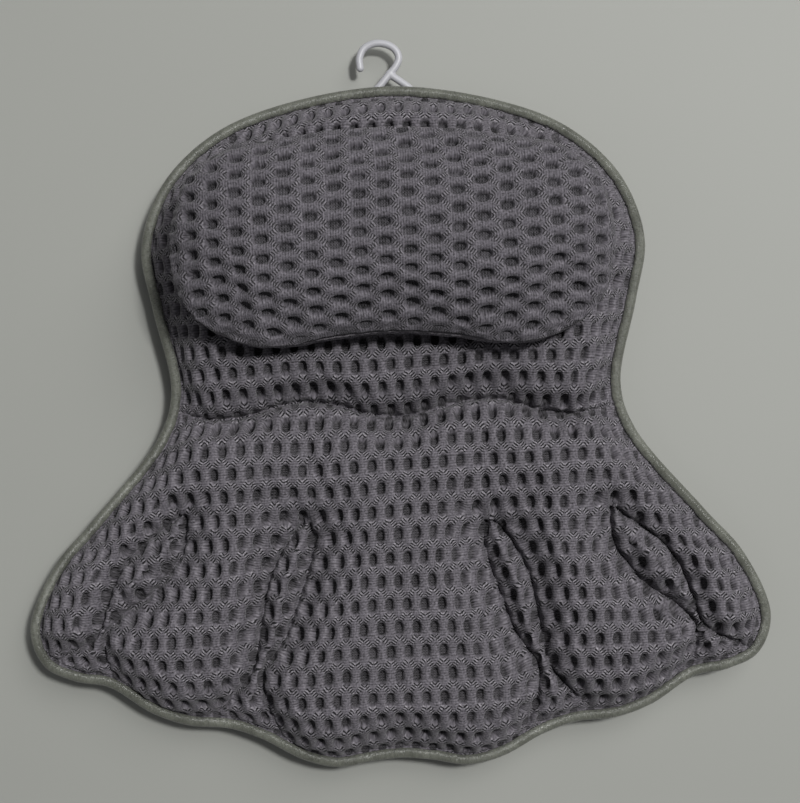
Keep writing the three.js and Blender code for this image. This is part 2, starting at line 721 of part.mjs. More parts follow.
// A round wire along a plan route at the hook's level.
function wire(route, steps) {
  const curve = new THREE.CatmullRomCurve3(route, false, "centripetal");
  const section = new THREE.Shape();
  section.absarc(0, 0, HOOK_WIRE / 2, 0, 2 * Math.PI);
  return new THREE.ExtrudeGeometry(section, {
    steps,
    extrudePath: curve,
    curveSegments: WIRE_SIDES / 2,
    bevelEnabled: false,
  });
}

// The hook about the middle of its bar: curl, stem and a three-cornered eye, with a round tip.
function hook() {
  const place = ([x, y]) => new THREE.Vector3((x * HOOK_WIDTH) / 2, y * HOOK_REACH, 0);
  const main = [...HOOK_CURL_SHARES, ...HOOK_BAR_SHARES].map(place);
  const leg = HOOK_LEG_SHARES.map(place);
  const tip = new THREE.SphereGeometry(HOOK_WIRE / 2, WIRE_SIDES, WIRE_SIDES / 2);
  tip.translate(main[0].x, main[0].y, main[0].z);
  const joined = solidOf(wire(main, WIRE_STEPS)).add(solidOf(wire(leg, WIRE_LEG_STEPS)));
  return geometryFrom(joined.add(solidOf(tip)));
}

// The tape loop about the bar's axis: a ring of tape, and its tail sewn along the back panel.
function hangingLoop() {
  const ring = new THREE.CylinderGeometry(LOOP_OUTER, LOOP_OUTER, LOOP_WIDTH, CUP_SEGMENTS);
  const boreLength = LOOP_WIDTH + 2 * CUT_OVERRUN;
  const bore = new THREE.CylinderGeometry(LOOP_INNER, LOOP_INNER, boreLength, CUP_SEGMENTS);
  const step = HOOK_INSET - BINDING_WIDTH - CLEARANCE;
  const high = BACK_Z - CLEARANCE - HOOK_Z;
  const plies = 2 * LOOP_TAPE;
  const rise = high - LOOP_OUTER;
  const upper = [[0, LOOP_OUTER], [step, LOOP_OUTER], [step - rise, high], [-LOOP_TAIL, high]];
  const lower = upper.map(([y, z]) => [y, z - plies]).reverse();
  const places = [...upper, ...lower].map(([y, z]) => new THREE.Vector2(y, z));
  const tail = new THREE.ExtrudeGeometry(new THREE.Shape(places), {
    depth: LOOP_WIDTH,
    bevelEnabled: false,
  }).translate(0, 0, -LOOP_WIDTH / 2);
  const turned = new THREE.Matrix4().makeBasis(
    new THREE.Vector3(0, 1, 0),
    new THREE.Vector3(0, 0, 1),
    new THREE.Vector3(1, 0, 0),
  );
  const round = [ring, bore].map((geometry) => solidOf(geometry.rotateZ(Math.PI / 2)));
  return geometryFrom(round[0].add(solidOf(tail.applyMatrix4(turned))).subtract(round[1]));
}

// The shoulder section, which lies against the bather's back
const shoulderPlan = shoulderGrid();
add("shoulder_front_cover", frontCover(shoulderPlan), finish.mesh);
add("shoulder_wadding", wadding(shoulderPlan), finish.wadding);
add("shoulder_back_panel", backPanel("shoulder"), finish.backing);
add("shoulder_binding", binding("shoulder"), finish.binding);

// The head section, with the headrest on it
const headPlan = headGrid();
add("head_front_cover", frontCover(headPlan), finish.mesh);
add("head_wadding", wadding(headPlan), finish.wadding);
add("head_back_panel", backPanel("head"), finish.backing);
add("head_binding", binding("head"), finish.binding);
add("headrest_face", headrestFace(), finish.mesh);
add("headrest_side_band", headrestBand(), finish.mesh);
add("headrest_stuffing", headrestStuffing(), finish.wadding);

// The cups and their straps, mirrored left and right
const cupPlaces = [
  ...[...HEAD_CUP_SHARES, ...SHOULDER_CUP_SHARES].flatMap(([x, y], i) => [
    { name: ["head_upper", "head_lower", "wing"][i] + "_left", shares: [-x, y] },
    { name: ["head_upper", "head_lower", "wing"][i] + "_right", shares: [x, y] },
  ]),
  { name: "middle", shares: [0, MIDDLE_CUP_SHARE] },
];
for (const { name, shares } of cupPlaces) {
  add("suction_cup_" + name, suctionCup(), finish.cup, onPad(shares));
  add("cup_strap_" + name, cupStrap(), finish.tape, onPad(shares));
}

// The hook and its loop, at the top of the back
const hookPlace = new THREE.Vector3(0, PAD_LENGTH / 2 - HOOK_INSET, HOOK_Z);
add("hook", hook(), finish.hook, hookPlace);
add("hanging_loop", hangingLoop(), finish.tape, hookPlace);

// The origin is under the middle of the whole pillow's box
const box = new THREE.Box3().setFromObject(pillow);
pillow.position.set(-(box.min.x + box.max.x) / 2, -(box.min.y + box.max.y) / 2, -box.min.z);

export default pillow;
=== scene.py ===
import json
import logging
import math
from dataclasses import dataclass, field
from enum import Enum
from typing import Callable, Sequence

import bmesh
import bpy
import numpy as np
from mathutils import Matrix, Vector

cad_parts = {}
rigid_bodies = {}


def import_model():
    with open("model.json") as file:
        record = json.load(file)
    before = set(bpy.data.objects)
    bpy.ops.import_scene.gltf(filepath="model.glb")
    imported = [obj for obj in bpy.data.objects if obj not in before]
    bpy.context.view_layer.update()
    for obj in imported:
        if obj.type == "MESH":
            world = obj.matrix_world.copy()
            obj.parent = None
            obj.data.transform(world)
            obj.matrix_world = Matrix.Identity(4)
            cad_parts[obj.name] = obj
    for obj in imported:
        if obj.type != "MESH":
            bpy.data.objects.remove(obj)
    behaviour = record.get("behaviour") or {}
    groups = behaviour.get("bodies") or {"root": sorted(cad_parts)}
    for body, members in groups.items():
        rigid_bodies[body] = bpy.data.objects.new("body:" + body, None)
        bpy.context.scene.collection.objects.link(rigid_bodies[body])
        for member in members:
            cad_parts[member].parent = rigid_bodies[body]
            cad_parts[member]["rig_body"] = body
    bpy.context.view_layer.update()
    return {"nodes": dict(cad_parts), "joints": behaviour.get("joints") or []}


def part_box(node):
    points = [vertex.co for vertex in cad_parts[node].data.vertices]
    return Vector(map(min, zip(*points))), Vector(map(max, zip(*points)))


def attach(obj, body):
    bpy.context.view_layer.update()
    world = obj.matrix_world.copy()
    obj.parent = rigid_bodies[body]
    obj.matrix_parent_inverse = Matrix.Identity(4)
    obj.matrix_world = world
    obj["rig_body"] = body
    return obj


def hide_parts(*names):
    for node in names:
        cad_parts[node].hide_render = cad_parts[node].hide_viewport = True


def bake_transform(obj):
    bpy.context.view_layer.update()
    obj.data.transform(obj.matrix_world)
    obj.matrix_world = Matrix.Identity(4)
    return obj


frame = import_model()

LOG = logging.getLogger("bath_pillow")
Array = np.ndarray
Socket = bpy.types.NodeSocket
MM = 0.001
TURN = 2 * math.pi


# Lines and fields


def catmull_rom(points: Array, closed: bool, samples: int = 40) -> Array:
    """Draws a centripetal Catmull-Rom curve through points.

    Args:
        points: Knots, one row each.
        closed: Whether the curve runs back to its first knot.
        samples: Points drawn for each span.

    Returns:
        The drawn points, with the end of the curve as the last row.
    """
    knots = np.asarray(points, float)
    if closed:
        run = np.vstack([knots[-1:], knots, knots[:2]])
    else:
        run = np.vstack([2 * knots[0] - knots[1], knots, 2 * knots[-1] - knots[-2]])
    t = np.linspace(0, 1, samples, endpoint=False)[:, None]
    drawn = []
    for k in range(len(run) - 3):
        p0, p1, p2, p3 = run[k : k + 4]
        d0, d1, d2 = (math.sqrt(max(np.linalg.norm(d), 1e-12)) for d in (p1 - p0, p2 - p1, p3 - p2))
        out = ((p1 - p0) / d0 - (p2 - p0) / (d0 + d1) + (p2 - p1) / d1) * d1
        into = ((p2 - p1) / d1 - (p3 - p1) / (d1 + d2) + (p3 - p2) / d2) * d1
        drawn.append(
            p1 + out * t + (3 * (p2 - p1) - 2 * out - into) * t**2 + (2 * (p1 - p2) + out + into) * t**3
        )
    return np.vstack([*drawn, run[-2:-1]])


class Line:
    """A drawn line that can be read at shares of its length."""

    def __init__(self, points: Array, closed: bool = False) -> None:
        """Measures the line."""
        self.points = np.asarray(points, float)
        self.closed = closed
        steps = np.linalg.norm(np.diff(self.points, axis=0), axis=1)
        self.run = np.concatenate([[0.0], np.cumsum(steps)])
        self.length = float(self.run[-1])

    def at(self, share: Array) -> Array:
        """Reads the line.

        Args:
            share: Shares of the length.

        Returns:
            The place at each share.
        """
        share = np.asarray(share, float)
        share = np.mod(share, 1.0) if self.closed else np.clip(share, 0, 1)
        return np.stack([np.interp(share * self.length, self.run, c) for c in self.points.T], -1)

    def along(self, share: Array) -> Array:
        """Reads the line's unit directions.

        Args:
            share: Shares of the length.

        Returns:
            The direction at each share.
        """
        step = 1e-4
        low, high = np.asarray(share) - step, np.asarray(share) + step
        if not self.closed:
            low, high = np.clip(low, 0, 1), np.clip(high, 0, 1)
        way = self.at(high) - self.at(low)
        return way / np.linalg.norm(way, axis=-1, keepdims=True)

    def inset(self, share: Array, inset: Array) -> Array:
        """Moves places to the right of the line's direction.

        Args:
            share: Shares of the length.
            inset: How far each place moves.

        Returns:
            The moved plan places.
        """
        way = self.along(share)
        side = np.stack([way[..., 1], -way[..., 0]], -1)
        return self.at(share) + side * np.asarray(inset)[..., None]

    def nearest(self, place: Sequence[float], low: float = 0.0, high: float = 0.5) -> float:
        """The share, between low and high, that lies nearest to a place."""
        shares = np.linspace(low, high, 1201)
        return float(shares[np.argmin(np.linalg.norm(self.at(shares) - np.asarray(place), axis=1))])


def distance_to(line: Array, places: Array) -> Array:
    """Distance from each place to a drawn line.

    Args:
        line: Points of the line.
        places: Plan places, with any leading shape.

    Returns:
        One distance for each place.
    """
    flat = places.reshape(-1, 2)
    nearest = np.full(len(flat), np.inf)
    for a, b in zip(line[:-1], line[1:]):
        d = b - a
        t = np.clip((flat - a) @ d / max(d @ d, 1e-18), 0, 1)
        gap_x = flat[:, 0] - a[0] - t * d[0]
        gap_y = flat[:, 1] - a[1] - t * d[1]
        np.minimum(nearest, gap_x * gap_x + gap_y * gap_y, out=nearest)
    return np.sqrt(nearest).reshape(places.shape[:-1])


def swell(distance: Array, reach: float) -> Array:
    """Swelling of a stuffed cloth: nothing at its seam, full at the reach."""
    return np.sin(np.clip(distance / reach, 0, 1) * math.pi / 2)


def ease(value: Array, low: float, high: float) -> Array:
    """Smooth step of value between low and high."""
    t = np.clip((value - low) / (high - low), 0, 1)
    return t * t * (3 - 2 * t)


def crowded(count: int, weight: float) -> Array:
    """Shares from 0 to 1 that crowd towards both ends."""
    even = np.linspace(0, 1, count + 1)
    return even + weight * ((1 - np.cos(math.pi * even)) / 2 - even)


def spread(values: Array, count: int) -> Array:
    """Refines a coarse grid of values smoothly.

    Args:
        values: Grid of coarse values, rows by columns by parts.
        count: Fine steps for each coarse step.

    Returns:
        The fine grid, with count steps for each coarse one.
    """

    def weights(size: int) -> Array:
        """Weighs the coarse values along one side of the grid.

        Args:
            size: Their number.

        Returns:
            The share of each coarse value in each fine one.
        """
        place = np.arange((size - 1) * count + 1) / count
        base = np.minimum(place.astype(int), size - 2)
        t = place - base
        parts = [(1 - t) ** 3, 3 * t**3 - 6 * t**2 + 4, -3 * t**3 + 3 * t**2 + 3 * t + 1, t**3]
        table = np.zeros((len(place), size))
        for k, part in enumerate(parts):
            np.add.at(table, (np.arange(len(place)), np.clip(base + k - 1, 0, size - 1)), part / 6)
        return table

    down, across = weights(values.shape[0]), weights(values.shape[1])
    return np.einsum("ar,rck,bc->abk", down, values, across, optimize=True)


def lowest(values: Array, reach: int) -> Array:
    """Finds the lowest value of a grid round each of its places.

    Args:
        values: Grid of values.
        reach: How far to look to each side, counted in places.

    Returns:
        The lowest value for each place.
    """
    for axis in (0, 1):
        sides = [(reach, reach) if side == axis else (0, 0) for side in (0, 1)]
        padded = np.pad(values, sides, mode="edge")
        values = np.lib.stride_tricks.sliding_window_view(padded, 2 * reach + 1, axis=axis).min(-1)
    return values


def normals_of(grid: Array) -> Array:
    """Unit normals of a grid of points, upwards for a grid that runs right and up."""
    across, down = np.gradient(grid, axis=1), np.gradient(grid, axis=0)
    normal = np.cross(across, down)
    return normal / np.maximum(np.linalg.norm(normal, axis=-1, keepdims=True), 1e-12)


# Meshes


def flat_cut(columns: int, rows: int, fine: int, backed: bool = True) -> bmesh.types.BMesh:
    """Cuts a piece in its own flat count: x and y count fine steps, z is 1 on top and 0 below.

    Args:
        columns: Coarse columns.
        rows: Coarse rows.
        fine: Fine steps in each coarse one, on the top.
        backed: Whether the piece gets a coarse underside and walls.

    Returns:
        The cut piece.
    """
    bm = bmesh.new()
    bmesh.ops.create_grid(bm, x_segments=columns, y_segments=rows, size=0.5)
    bmesh.ops.translate(bm, verts=bm.verts, vec=(0.5, 0.5, 0))
    bmesh.ops.scale(bm, verts=bm.verts, vec=(columns * fine, rows * fine, 1))
    top = list(bm.faces)
    if backed:
        raised = bmesh.ops.extrude_face_region(bm, geom=top, use_keep_orig=True)["geom"]
        top = [g for g in raised if isinstance(g, bmesh.types.BMFace)]
        moved = [g for g in raised if isinstance(g, bmesh.types.BMVert)]
        bmesh.ops.translate(bm, verts=moved, vec=(0, 0, 1))
    if fine > 1:
        edges = list({edge for face in top for edge in face.edges})
        bmesh.ops.subdivide_edges(bm, edges=edges, cuts=fine - 1, use_grid_fill=True)
    if backed:
        bmesh.ops.recalc_face_normals(bm, faces=bm.faces)
    return bm


def counts(flat: Array) -> tuple[Array, Array]:
    """The row and the column of each vertex in a piece's flat count."""
    return np.rint(flat[:, 1]).astype(int), np.rint(flat[:, 0]).astype(int)


def place_of(mesh: bpy.types.Mesh) -> Array:
    """The vertex places of a mesh, one row each."""
    places = np.empty(len(mesh.vertices) * 3, np.float32)
    mesh.vertices.foreach_get("co", places)
    return places.reshape(-1, 3).astype(float)


def linked(name: str, mesh: bpy.types.Mesh) -> bpy.types.Object:
    """Links a smooth-shaded object at the origin.

    Args:
        name: Name of the object.
        mesh: Its mesh.

    Returns:
        The object.
    """
    mesh.polygons.foreach_set("use_smooth", np.ones(len(mesh.polygons), bool))
    mesh.update()
    obj = bpy.data.objects.new(name, mesh)
    bpy.context.scene.collection.objects.link(obj)
    return obj


def shaped(
    name: str,
    cut: bmesh.types.BMesh,
    shape: Callable[[Array], Array],
    cloth: Callable[[Array], Array] | None = None,
    welded: bool = False,
) -> bpy.types.Object:
    """Turns a cut piece into its finished shape.

    Args:
        name: Name of the piece.
        cut: The piece in its flat count.
        shape: Gives the place of each vertex from its flat count.
        cloth: Gives the place on the cloth of each vertex, kept as the map "cloth".
        welded: Whether edges that meet are joined, as round a ring.

    Returns:
        The piece.
    """
    mesh = bpy.data.meshes.new(name)
    cut.to_mesh(mesh)
    cut.free()
    flat = place_of(mesh)
    mesh.vertices.foreach_set("co", shape(flat).astype(np.float32).ravel())
    if cloth is not None:
        corner = np.empty(len(mesh.loops), np.int32)
        mesh.loops.foreach_get("vertex_index", corner)
        mesh.uv_layers.new(name="cloth")
        mesh.uv_layers["cloth"].uv.foreach_set(
            "vector", cloth(flat)[corner].astype(np.float32).ravel()
        )
    mesh.update()
    if welded:
        bm = bmesh.new()
        bm.from_mesh(mesh)
        bmesh.ops.remove_doubles(bm, verts=bm.verts, dist=1e-6)
        bmesh.ops.recalc_face_normals(bm, faces=bm.faces)
        bm.to_mesh(mesh)
        bm.free()
    return linked(name, mesh)


def stitched(
    bm: bmesh.types.BMesh,
    route: Array,
    pitch: float,
    size: tuple[float, float],
    normal: Sequence[float] = (0, 0, 1),
) -> None:
    """Adds a row of stitches along a route, each a flattened bead of thread.

    Args:
        bm: Mesh that gets the stitches.
        route: Points of the route.
        pitch: Length from one stitch to the next.
        size: Length and thickness of a stitch.
        normal: Direction away from the cloth.
    """
    line = Line(route)
    count = max(int(line.length / pitch), 1)
    shares = (np.arange(count) + 0.5) / count
    up = Vector(normal).normalized()
    for place, way in zip(line.at(shares), line.along(shares)):
        forward = Vector(way).normalized()
        side = up.cross(forward).normalized()
        turn = Matrix((forward, side, forward.cross(side))).transposed().to_4x4()
        scale = Matrix.Diagonal((size[0] / 2, size[1] / 2, size[1] / 2.6, 1))
        matrix = Matrix.Translation(Vector(place)) @ turn @ scale
        bmesh.ops.create_uvsphere(bm, u_segments=6, v_segments=4, radius=1, matrix=matrix)


def piece_from(name: str, bm: bmesh.types.BMesh) -> bpy.types.Object:
    """Turns a mesh that is already in place into a piece.

    Args:
        name: Name of the piece.
        bm: Its mesh, which is freed.

    Returns:
        The piece.
    """
    mesh = bpy.data.meshes.new(name)
    bm.to_mesh(mesh)
    bm.free()
    return linked(name, mesh)


def sewn_on(piece: bpy.types.Object, routes: Sequence[Array], pitch: float, size: tuple) -> None:
    """Adds rows of stitches to the underside of a tape, in its second material.

    Args:
        piece: The tape.
        routes: Route of each row.
        pitch: Length from one stitch to the next.
        size: Length and thickness of a stitch.
    """
    bm = bmesh.new()
    bm.from_mesh(piece.data)
    known = len(bm.faces)
    for route in routes:
        stitched(bm, route, pitch, size, (0, 0, -1))
    bm.faces.ensure_lookup_table()
    for face in bm.faces[known:]:
        face.material_index = 1
        face.smooth = True
    bm.to_mesh(piece.data)
    bm.free()


@dataclass(frozen=True)
class Filling:
    """How a filling blows up a sewn cloth, and how stiff that cloth is."""

    pressure: float = 3.5
    slack: float = 0.03
    cap: float = 5 * MM
    mass: float = 0.25
    stiffness: float = 12
    shear: float = 6
    bending: float = 0.35
    quality: int = 6
    frames: int = 20


def inflated(base: Array, held: Array, filling: Filling) -> Array:
    """Blows a sewn cloth up with a cloth simulation.

    Args:
        base: Grid of places that the cloth starts from, rows by columns.
        held: Which of them are sewn down.
        filling: The filling and the cloth. No place moves further than its cap.

    Returns:
        How each place of the grid moved.
    """
    rows, columns = base.shape[:2]
    cut = flat_cut(columns - 1, rows - 1, 1, backed=False)
    index: list[Array] = []

    def lay(flat: Array) -> Array:
        """Places of the sheet's vertices, with their order kept for the way back."""
        row, column = counts(flat)
        index.append(row * columns + column)
        return base.reshape(-1, 3)[index[0]]

    sheet = shaped("blown_cloth", cut, lay)
    group = sheet.vertex_groups.new(name="sewn")
    group.add(np.flatnonzero(held.reshape(-1)[index[0]]).tolist(), 1.0, "REPLACE")
    cloth = sheet.modifiers.new("Cloth", "CLOTH")
    settings = cloth.settings
    settings.quality = filling.quality
    settings.mass = filling.mass
    settings.tension_stiffness = filling.stiffness
    settings.compression_stiffness = filling.stiffness
    settings.shear_stiffness = filling.shear
    settings.bending_stiffness = filling.bending
    settings.air_damping = 1
    settings.use_pressure = True
    settings.uniform_pressure_force = filling.pressure
    settings.shrink_min = -filling.slack
    settings.vertex_group_mass = "sewn"
    settings.effector_weights.gravity = 0
    cloth.collision_settings.use_collision = False
    cloth.point_cache.frame_start = 1
    cloth.point_cache.frame_end = filling.frames
    scene = bpy.context.scene
    for step in range(1, filling.frames + 1):
        scene.frame_set(step)
    evaluated = sheet.evaluated_get(bpy.context.evaluated_depsgraph_get())
    moved = np.empty_like(base).reshape(-1, 3)
    moved[index[0]] = place_of(evaluated.data)
    scene.frame_set(1)
    bpy.data.objects.remove(sheet)
    shift = moved.reshape(base.shape) - base
    length = np.linalg.norm(shift, axis=-1, keepdims=True)
    return shift * np.minimum(1, filling.cap / np.maximum(length, 1e-9))


# The cloth's pattern


@dataclass(frozen=True)
class Knit:
    """Pattern of the spacer mesh: staggered rows of oval holes between raised ribs.

    The pulls are slow waves that draw the rows uneven: their size, then the lengths over which they
    repeat along both ways, then where they start.
    """

    pitch: float = 9.85 * MM
    row: float = 13.0 * MM
    hole_width: float = 5.1 * MM
    hole_height: float = 7.7 * MM
    squareness: float = 2.5
    depth: float = 4.4 * MM
    rib: float = 1.4 * MM
    grain: float = math.radians(2.4)
    dent: tuple = (0.76, 1.08)
    pulls_across: tuple = ((0.3 * MM, 0.29, 0.113, 0.0), (0.2 * MM, -0.083, 0.051, 1.0))
    pulls_along: tuple = ((0.5 * MM, 0.127, -0.31, 2.0), (0.25 * MM, 0.057, 0.071, 0.0))

    def straight(self, place: Array, lean: float) -> Array:
        """Turns places on the cloth by its grain, which runs a little askew, and pulls it unevenly.

        Args:
            place: Places on the cloth, in metres.
            lean: How far the columns of holes lean, in radians.

        Returns:
            Places in the pattern's own frame.
        """
        x, y = place[..., 0], place[..., 1]
        askew = np.stack([x + y * math.sin(lean), y - x * math.sin(self.grain)], -1)
        pulls = [
            sum(size * np.sin(TURN * (x / wide + y / tall) + start) for size, wide, tall, start in waves)
            for waves in (self.pulls_across, self.pulls_along)
        ]
        return askew + np.stack(pulls, -1)

    def relief(self, place: Array) -> Array:
        """Height of the cloth's face over its middle, from a place on the cloth.

        Args:
            place: Places on the cloth, in metres across and along the holes.

        Returns:
            Height at each place.
        """
        cell = place / np.array([self.pitch, 2 * self.row])
        radius = np.full(place.shape[:-1], np.inf)
        for offset in (0.0, 0.5):
            off = np.mod(cell + offset + 0.5, 1) - 0.5
            across = np.abs(off[..., 0]) * self.pitch / (self.hole_width / 2)
            along = np.abs(off[..., 1]) * 2 * self.row / (self.hole_height / 2)
            reached = (across**self.squareness + along**self.squareness) ** (1 / self.squareness)
            np.minimum(radius, reached, out=radius)
        dent = 1 - ease(radius, *self.dent)
        barrel = np.clip(radius - 1, 0, 1)
        return self.rib * np.sin(barrel * math.pi / 2) - self.depth * dent


@dataclass
class ClothMap:
    """Lays flat cloth over a crowned form, so that its pattern shortens on the slopes."""

    height: Callable[[Array], Array]
    inside: Callable[[Array], Array]
    low: tuple[float, float]
    high: tuple[float, float]
    start: float
    step: float = 1.5 * MM

    def __post_init__(self) -> None:
        """Measures the lengths over the form, from its middle line and its starting height."""
        self.x = np.arange(self.low[0], self.high[0], self.step)
        self.y = np.arange(self.low[1], self.high[1], self.step)
        places = np.stack(np.meshgrid(self.x, self.y), -1)
        height = np.where(self.inside(places), self.height(places), 0)
        slope_y, slope_x = np.gradient(height, self.step)
        self.across = self.measured(slope_x, 1, np.argmin(np.abs(self.x)))
        self.along = self.measured(slope_y, 0, np.argmin(np.abs(self.y - self.start)))

    def measured(self, slope: Array, axis: int, origin: int) -> Array:
        """Sums up how much longer the cloth is than the plan.

        Args:
            slope: Slope of the form along the axis, as a grid.
            axis: The grid's axis.
            origin: Row or column that the length starts from.

        Returns:
            Extra length at each place of the grid.
        """
        extra = (np.sqrt(1 + np.clip(slope, -3, 3) ** 2) - 1) * self.step
        run = np.cumsum(extra, axis=axis)
        return run - np.take(run, [origin], axis=axis)

    def at(self, places: Array) -> Array:
        """Finds where the cloth lies.

        Args:
            places: Plan places on the form.

        Returns:
            The place on the cloth over each.
        """
        fx = np.clip((places[..., 0] - self.x[0]) / self.step, 0, len(self.x) - 1.001)
        fy = np.clip((places[..., 1] - self.y[0]) / self.step, 0, len(self.y) - 1.001)
        i, j = fx.astype(int), fy.astype(int)
        s, t = fx - i, fy - j
        extra = []
        for table in (self.across, self.along):
            lower = table[j, i] * (1 - s) + table[j, i + 1] * s
            upper = table[j + 1, i] * (1 - s) + table[j + 1, i + 1] * s
            extra.append(lower * (1 - t) + upper * t)
        return places + np.stack(extra, -1)


# The pad's plan


@dataclass
class PadPlan:
    """Plan of the pad in the CAD's own frame: outline, fold seam and petal seams."""

    width: float = 430 * MM
    length: float = 395 * MM
    fold_offset: float = 10.4 * MM
    fold_wave: float = 4.2 * MM
    fold_pitch: float = 102 * MM
    fold_gap: float = 0.9 * MM
    edge_inset: float = 2.1 * MM
    crown_inset: float = 6.9 * MM
    crown: float = 24 * MM
    reach: float = 25 * MM
    fold_dip: tuple = (0.22, 2.6 * MM, 20 * MM)
    fold_low: float = 0.8
    petal_dip: tuple = (0.2, 2.6 * MM, 20 * MM)
    petal_low: float = 0.84
    cloth_give: float = 0.55
    headrest_foot: tuple = (62 * MM, 1 * MM, 106 * MM, 47 * MM)
    foot_sink: float = 8 * MM
    foot_reach: float = 13 * MM
    back_z: float = 18.1 * MM
    rim_low: float = 19.2 * MM
    rim_top: float = 20.0 * MM
    outline_shares: tuple = (
        (0, 1), (0.355, 0.932), (0.513, 0.844), (0.626, 0.712), (0.68, 0.535), (0.653, 0.359),
        (0.607, 0.115), (0.642, -0.015), (0.826, -0.259), (0.931, -0.391), (1, -0.574),
        (0.964, -0.685), (0.877, -0.732), (0.791, -0.75), (0.675, -0.829), (0.58, -0.866),
        (0.464, -0.879), (0.378, -0.912), (0.27, -0.974), (0.175, -0.998), (0.081, -0.982),
        (0, -0.974),
    )
    petal_shares: tuple = (
        (
            (0.2, 0), (0.237, -0.279), (0.228, -0.324), (0.234, -0.368), (0.252, -0.435),
            (0.283, -0.529), (0.31, -0.603), (0.34, -0.655), (0.366, -0.7), (0.366, -0.775),
            (0.337, -0.935),
        ),
        (
            (0.235, 0), (0.254, -0.279), (0.278, -0.303), (0.316, -0.368), (0.346, -0.441),
            (0.364, -0.521), (0.379, -0.597), (0.394, -0.69), (0.428, -0.745), (0.513, -0.87),
        ),
        (
            (0.46, 0), (0.569, -0.247), (0.57, -0.294), (0.58, -0.353), (0.61, -0.403),
            (0.648, -0.456), (0.694, -0.497), (0.74, -0.532), (0.79, -0.591), (0.793, -0.656),
            (0.791, -0.75),
        ),
        (
            (0.51, 0), (0.585, -0.247), (0.621, -0.279), (0.669, -0.318), (0.713, -0.36),
            (0.746, -0.409), (0.769, -0.466), (0.785, -0.515), (0.806, -0.582), (0.837, -0.615),
            (0.88, -0.638), (0.945, -0.703),
        ),
    )
    head_corner: tuple = (0.6, 0.75)
    wing_corner: tuple = (0.97, -0.67)
    panels: tuple = (10, 4, 12, 4, 8)
    shoulder_rows: int = 30
    fold_rows: int = 1
    head_rows: int = 26

    def __post_init__(self) -> None:
        """Draws the lines of the plan."""
        half = np.array([self.on_pad(p) for p in self.outline_shares])
        mirrored = half[1:-1][::-1] * (-1, 1)
        self.outline = Line(catmull_rom(np.vstack([half, mirrored]), True), closed=True)
        self.rim_line = self.outline.at(np.linspace(0, 1, 321))
        self.ribs = [self.rib(shares) for shares in self.petal_shares]
        self.stitch_lines = [stitches for _, _, stitches in self.ribs]

    def on_pad(self, share: Sequence[float]) -> Array:
        """A plan place from shares of half the width and half the length."""
        return np.array([share[0] * self.width / 2, share[1] * self.length / 2])

    def fold_y(self, x: Array) -> Array:
        """Height of the fold seam's wave at x."""
        return self.fold_offset - self.fold_wave * np.cos(TURN * x / self.fold_pitch)

    def rib(self, shares: Sequence) -> tuple[float, Line, Array]:
        """Draws a petal seam.

        Args:
            shares: Its knots, from the fold to the edge, in shares of the half sizes.

        Returns:
            Its share on the outline, its route to the edge, and its stitched stretch.
        """
        places = np.array([self.on_pad(p) for p in shares])
        places[0, 1] = self.fold_y(places[0, 0]) - self.fold_gap / 2
        share = self.outline.nearest(places[-1])
        places[-1] = self.outline.inset(share, self.crown_inset)
        stitches = catmull_rom(places[1:], False, 4)
        places[-1] = self.outline.inset(share, self.edge_inset)
        return share, Line(catmull_rom(places, False)), stitches

    def fold_share(self, inset: float, rise: float) -> float:
        """Finds where an inset line meets the fold, on the right side.

        Args:
            inset: How far the line lies inside the outline.
            rise: How far over the middle of the fold.

        Returns:
            The outline's share there.
        """
        above, below = 0.0, 0.5
        for _ in range(30):
            middle = (above + below) / 2
            x, y = self.outline.inset(middle, inset)
            above, below = (middle, below) if y > self.fold_y(x) + rise else (above, middle)
        return above

    def rim(self, share: Array) -> Array:
        """Places on the cloth's edge."""
        return self.outline.inset(share, self.edge_inset)

    def shoulder_places(self, column: Array, t: Array) -> Array:
        """Plan places of the shoulder section.

        Args:
            column: Signed column count from the middle line.
            t: Share from the fold, 0, to the lower edge, 1.

        Returns:
            Places for each column and share together.
        """
        gap = self.fold_gap / 2
        side = self.fold_share(self.edge_inset, -gap)
        corner = self.outline.nearest(self.on_pad(self.wing_corner))

        def fold_point(x: Array) -> Array:
            """Places on the fold's lower edge."""
            return np.stack([x, self.fold_y(x) - gap], -1)

        start, end = fold_point(np.array(0.0)), self.rim(0.5)
        rails = [(0.5, start + (end - start) * t[..., None])]
        rails += [(share, route.at(t)) for share, route, _ in self.ribs]
        rails.append((corner, self.rim(side + (corner - side) * t)))
        heads = [start, *(route.at(0.0) for _, route, _ in self.ribs), self.rim(side)]
        feet = [end, *(route.at(1.0) for _, route, _ in self.ribs), self.rim(corner)]
        count = np.abs(column)
        places = np.zeros((*count.shape, 2))
        first = 0
        for k, width in enumerate(self.panels):
            here = (count >= first) & ((count <= first + width) | (k == len(self.panels) - 1))
            f = np.clip((count - first) / width, 0, 1)[..., None]
            (share_a, a), (share_b, b) = rails[k], rails[k + 1]
            head = heads[k] + (heads[k + 1] - heads[k]) * f
            foot = feet[k] + (feet[k + 1] - feet[k]) * f
            fold_end = fold_point(head[..., 0])
            rim_end = self.rim(share_a + (share_b - share_a) * f[..., 0])
            p = a + (b - a) * f
            p = p + (fold_end - head) * (1 - t[..., None]) + (rim_end - foot) * t[..., None]
            places[here] = p[here]
            first += width
        places[..., 0] *= np.where(column < 0, -1, 1)
        return places

